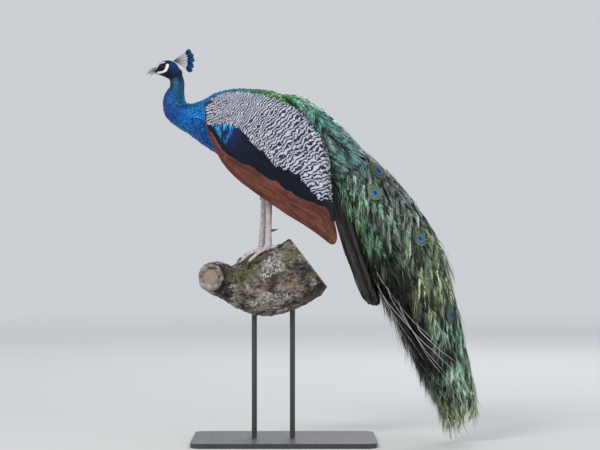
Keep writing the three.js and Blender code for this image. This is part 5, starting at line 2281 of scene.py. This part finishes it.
def tail_feathers(bed, points, course):
    """Long overlapping feathers round the tail's bed, which end at its lower end."""
    rng = draws("tail")
    roots = tail_roots(course, scattered(points, triangles_of(bed), 0.006, rng))
    count = len(roots)
    steps = 1.0 - (1.0 - np.linspace(0.0, 1.0, 14)) ** 1.35
    room = (roots[:, 2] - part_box("tail")[0].z) * 1.04 * rng.uniform(0.93, 1.03, count)
    length = np.minimum(0.17 * rng.uniform(0.85, 1.1, count), room)
    lines, normals = marched(tree_of(bed), roots, flow_along(course), length, steps)
    width = rng.uniform(0.022, 0.03, count)
    rise = 0.0034 * steps[None] * rng.uniform(0.5, 1.5, count)[:, None]
    batch = Vanes(lines, normals, width, steps, 5, vane_outline(steps, 0.8, 0.7, 0.15), rise, width * 0.1,
                  rng.normal(0.0, 0.1, count) * width)
    batch.tell_each(chance=rng.random(count))
    travel = course.beside(roots)[0] / course.length
    turns = np.arctan2(roots[:, 1], normals[:, 0, 0] * 0.05) / (2.0 * math.pi) + 0.5
    batch.map_at(turns, travel, 0.03)
    return batch


def tail_paint():
    """Dark brown, with paler edges and ribs."""
    paint = Paint("tail", Roughness=0.5)
    colour = paint.ramp(paint.noise(40.0, 4.0), [(0.3, (0.004, 0.004, 0.004)), (0.7, (0.012, 0.01, 0.009))])
    colour = paint.vary(colour, 0.5, 1.7)
    edge = paint.size(paint.value("across"))
    colour = paint.mix(paint.spread(edge, 0.82, 1.0, 0.0, 0.8), colour, (0.04, 0.031, 0.026))
    rib = paint.spread(edge, 0.0, 0.08, 0.7, 0.0)
    paint.colour(paint.mix(rib, colour, (0.06, 0.047, 0.038)))
    paint.bump(paint.sine(paint.times(paint.value("along"), 200.0)), 0.15, 0.0004)
    return paint.material


def dress_tail():
    """The stiff brown tail under the train: feathers on a closed bed."""
    bed = fused("tail_bed", ["tail"], VOXELS["tail"])
    points = relaxed(points_of(bed), edges_of(bed), 16)
    put_points(bed, points)
    mesh = vanes_mesh("tail_feathers", [tail_feathers(bed, points, tail_course())])
    put_points(bed, points - normals_of(bed) * 0.0032)
    look = bed_paint("tail_bed", (0.006, 0.005, 0.005), (0.014, 0.011, 0.01))
    add_piece("tail_bed", bed, look, ["tail"])
    add_piece("tail_feathers", mesh, tail_paint(), ["tail"])


def leg_flow(side):
    """The lie of scales and feathers on a leg: down the shank, then out along the toes."""
    low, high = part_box(f"shank_{side}")
    ankle = np.array([(low.x + high.x) / 2, (low.y + high.y) / 2, low.z])

    def flow(here, normal):
        out = here - ankle
        out[:, 2] = -0.012
        level = ease(0.004, 0.016, here[:, 2] - ankle[2])[:, None]
        down = np.broadcast_to(np.array([-0.08, 0.0, -1.0]), here.shape)
        return flat(unit(out) * (1.0 - level) + down * level + 1e-5, normal)

    return flow


def leg_batch(roots, tree, flow, long, wide, rise, rows, rng):
    """Scales or thigh feathers on a leg."""
    count = len(roots)
    steps = np.linspace(0.0, 1.0, rows) ** 0.8
    lines, normals = marched(tree, roots, flow, long * rng.uniform(0.85, 1.15, count), steps)
    width = wide * rng.uniform(0.9, 1.1, count)
    lift = -0.0004 + rise * rng.uniform(0.7, 1.3, count)[:, None] * np.sqrt(steps)[None]
    outline = vane_outline(steps, 0.6, 0.7, 0.35)
    batch = Vanes(lines, normals, width, steps, 3, outline, lift, width * 0.1)
    batch.tell_each(chance=rng.random(count))
    low, high = roots.min(axis=0), roots.max(axis=0)
    share = (roots - low) / (high - low)
    middle = roots.mean(axis=0)
    around = np.arctan2(roots[:, 1] - middle[1], roots[:, 0] - middle[0]) / (2.0 * math.pi) + 0.5
    batch.map_at(around, share[:, 2], 0.003)
    return batch


def thigh_paint():
    """Pale brown down, darker at the roots."""
    paint = Paint("thigh", Roughness=0.6)
    cloud = paint_cloud(paint, (0.16, 0.13, 0.1), (0.34, 0.29, 0.24))
    paint.colour(paint.shade(cloud, paint.spread(paint.value("along"), 0.1, 0.8, 0.5, 1.1)))
    paint.bump(paint.noise(1200.0), 0.3, 0.0004)
    return paint.material


def leg_scale_paint():
    """Pale horn, darker at each scale's tip."""
    paint = Paint("leg_scales", Roughness=0.42, Specular_IOR_Level=0.5)
    cloud = paint_cloud(paint, (0.46, 0.4, 0.41), (0.74, 0.68, 0.69))
    paint.colour(paint.shade(cloud, paint.spread(paint.value("along"), 0.7, 1.0, 1.0, 0.55)))
    paint.bump(paint.noise(1500.0), 0.3, 0.0003)
    return paint.material


def dress_legs(skin, tree, owner, nodes):
    """Thigh feathers, the horny scales of shanks and toes, and the claws."""
    points = points_of(skin)
    triangles = triangles_of(skin)
    rng = draws("legs")
    down = thigh_paint()
    horn = leg_scale_paint()

    def lay(name, parts, spacing, look, slot, *sizes):
        chosen = np.isin(owner, [nodes.index(part) for part in parts])
        roots = scattered(points, triangles_where(triangles, chosen), spacing, rng)
        batch = leg_batch(roots, tree, flow, *sizes, rng)
        add_piece(name, vanes_mesh(name, [batch]), look, parts)

    for side in SIDES:
        flow = leg_flow(side)
        lay(f"thigh_feathers_{side}", [f"thigh_{side}"], 0.0042, down, "plumage_thigh",
            0.015, 0.0065, 0.003, 5)
        lay(f"leg_scales_{side}", [f"shank_{side}", f"foot_{side}"], 0.003, horn, "leg",
            0.0048, 0.0044, 0.0007, 4)
    look = claw_paint()
    for side in SIDES:
        mesh, stands_for = make_claws(side)
        add_piece(f"claws_{side}", mesh, look, stands_for)


def paint_cloud(paint, low, high):
    """A colour that drifts between two tones, with each feather's or scale's own lightness."""
    cloud = paint.ramp(paint.noise(130.0, 3.0), [(0.3, low), (0.7, high)])
    return paint.vary(cloud, 0.75, 1.25)


# ---------------------------------------------------------------- the branch

def rugged(points, scale, octaves, seed):
    """Fractal noise at each point, about -1 to 1."""
    shift = Vector((seed * 3.1, seed * 1.7, seed * 2.3))
    values = [noise.fractal(Vector(point) * scale + shift, 0.9, 2.1, octaves) for point in points.tolist()]
    return np.array(values)


def sawn_faces(points, normals, on_stub):
    """How much each vertex belongs to the broken stub's flat face, and to the limb's cut right end."""
    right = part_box("perch")[1].x
    disc = (normals[:, 1] < -0.86) * (1.0 - ease(0.019, 0.023, on_stub))
    slope = normals @ unit(np.array([0.62, 0.0, 0.78]))
    return disc, ease(0.8, 0.93, slope) * (points[:, 0] > right - 0.16)


def away_from_feet(points):
    """0 where a foot stands, rising to 1 a centimetre away from both."""
    clear = np.ones(len(points))
    for side in SIDES:
        low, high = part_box(f"foot_{side}")
        beyond = np.maximum(np.array(low) - points, points - np.array(high))
        clear = np.minimum(clear, ease(0.0, 0.01, np.linalg.norm(np.maximum(beyond, 0.0), axis=1)))
    return clear


def make_branch():
    """The cut branch: barky sides with lichen and moss, and two sawn faces."""
    mesh = fused("branch", ["perch"], VOXELS["branch"])
    edges = edges_of(mesh)
    points = relaxed(points_of(mesh), edges, 10)
    put_points(mesh, points)
    normals = normals_of(mesh)
    low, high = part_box("perch")
    stub = np.array([low.x + 0.027, low.y, low.z + (high.z - low.z) * 0.505])
    on_stub = np.linalg.norm(points - stub, axis=1)
    disc, end = sawn_faces(points, normals, on_stub)
    cut = np.maximum(disc, end)
    put_value(mesh, "cut", cut)
    middle = np.where((disc > end)[:, None], stub, [(high.x + low.x) / 2 + 0.12, 0.0, high.z - 0.06])
    coarse = rugged(points, 16.0, 3, 1)
    ridges = 1.0 - np.abs(rugged(points * np.array([0.7, 1.3, 1.3]), 60.0, 3, 2)) * 2.2
    fine = rugged(points, 170.0, 3, 3)
    lichen = ease(0.17, 0.34, rugged(points, 20.0, 4, 4))
    moss = ease(0.05, 0.35, rugged(points, 18.0, 3, 5) + 0.3 * normals[:, 2])
    collar = np.exp(-((on_stub - 0.029) / 0.008) ** 2) * (points[:, 1] < low.y + 0.05)
    height = 0.003 * coarse + 0.0028 * ridges + 0.0012 * fine + 0.0012 * lichen
    height = height + collar * (0.004 + 0.006 * rugged(points, 55.0, 2, 6))
    height = np.minimum(height - 0.0015, 0.0075) * (1.0 - cut) + cut * 0.0002 * fine
    clear = away_from_feet(points)
    height = np.where(height > 0.0, height * clear, height) - (1.0 - clear) * 0.0006
    points = points + normals * height[:, None]
    put_points(mesh, points)
    # How high each place stands, for the bark's painted shade in the furrows.
    put_value(mesh, "deep", ease(-0.004, 0.004, height))
    put_value(mesh, "lichen", lichen * (1.0 - cut))
    put_value(mesh, "moss", moss * (1.0 - cut))
    put_value(mesh, "ring", np.linalg.norm(points - middle, axis=1))
    shade_smooth(mesh)
    return mesh


def bark_paint():
    """Grey-brown bark with painted shade in its low furrows, pale lichen, green moss in patches, and pale
    sawn wood with rings.
    """
    paint = Paint("bark", Roughness=0.82, Specular_IOR_Level=0.3)
    mottled = paint.scaled(paint.noise(90.0, 5.0, 0.65), 0.7, -0.2)
    # Painted shade: the bark darkens with the depth of its furrows, near black at the lowest.
    tone = paint.scaled(paint.value("deep"), 0.6, mottled)
    bark = paint.ramp(tone, [
        (0.1, (0.013, 0.011, 0.01)),
        (0.35, (0.062, 0.049, 0.04)),
        (0.6, (0.185, 0.155, 0.132)),
        (0.85, (0.37, 0.325, 0.295)),
    ])
    rust = paint.spread(paint.noise(24.0, 4.0), 0.56, 0.68, 0.0, 0.6)
    bark = paint.mix(rust, bark, (0.2, 0.105, 0.06))
    moss = paint.times(paint.value("moss"), paint.spread(paint.noise(210.0, 4.0), 0.42, 0.6))
    green = paint.ramp(paint.noise(60.0, 3.0), [(0.35, (0.05, 0.062, 0.022)), (0.7, (0.15, 0.16, 0.05))])
    bark = paint.mix(moss, bark, green)
    crust = paint.times(paint.value("lichen"), paint.spread(paint.noise(180.0, 5.0, 0.65), 0.46, 0.6))
    pale = paint.ramp(paint.noise(45.0, 3.0), [(0.35, (0.3, 0.3, 0.29)), (0.7, (0.56, 0.55, 0.54))])
    bark = paint.mix(crust, bark, pale)
    ring = paint.scaled(paint.noise(26.0, 4.0), 0.014, paint.value("ring"))
    ring = paint.sine(paint.times(ring, 1700.0))
    wood = paint.ramp(paint.scaled(ring, 0.16, paint.noise(75.0, 4.0)), [
        (0.2, (0.235, 0.175, 0.12)),
        (0.8, (0.4, 0.32, 0.24)),
    ])
    wood = paint.mix(paint.spread(paint.noise(120.0, 4.0), 0.45, 0.7, 0.0, 0.6), wood, (0.2, 0.17, 0.15))
    paint.colour(paint.mix(paint.value("cut"), bark, wood))
    height = paint.plus(paint.noise(420.0, 5.0, 0.65), paint.cells(240.0))
    paint.bump(height, 0.6, 0.0016)
    return paint.material


# ---------------------------------------------------------------- the whole model

def build_bird():
    """The skin and everything laid on it or seated in it."""
    skin, points, owner, nodes = make_skin()
    course = body_course()
    tell_body(skin, course, points)
    add_piece("skin", skin, skin_paint(), BODY_RUN + LEG_RUN)
    skin_tree = tree_of(skin)
    dress_body(course, skin, skin_tree, owner, nodes)
    dress_head()
    dress_wings()
    dress_train()
    dress_tail()
    dress_legs(skin, skin_tree, owner, nodes)


place_camera()
light_scene()
studio_floor()
paint_stand()
build_bird()
add_piece("branch", make_branch(), bark_paint(), ["perch"])
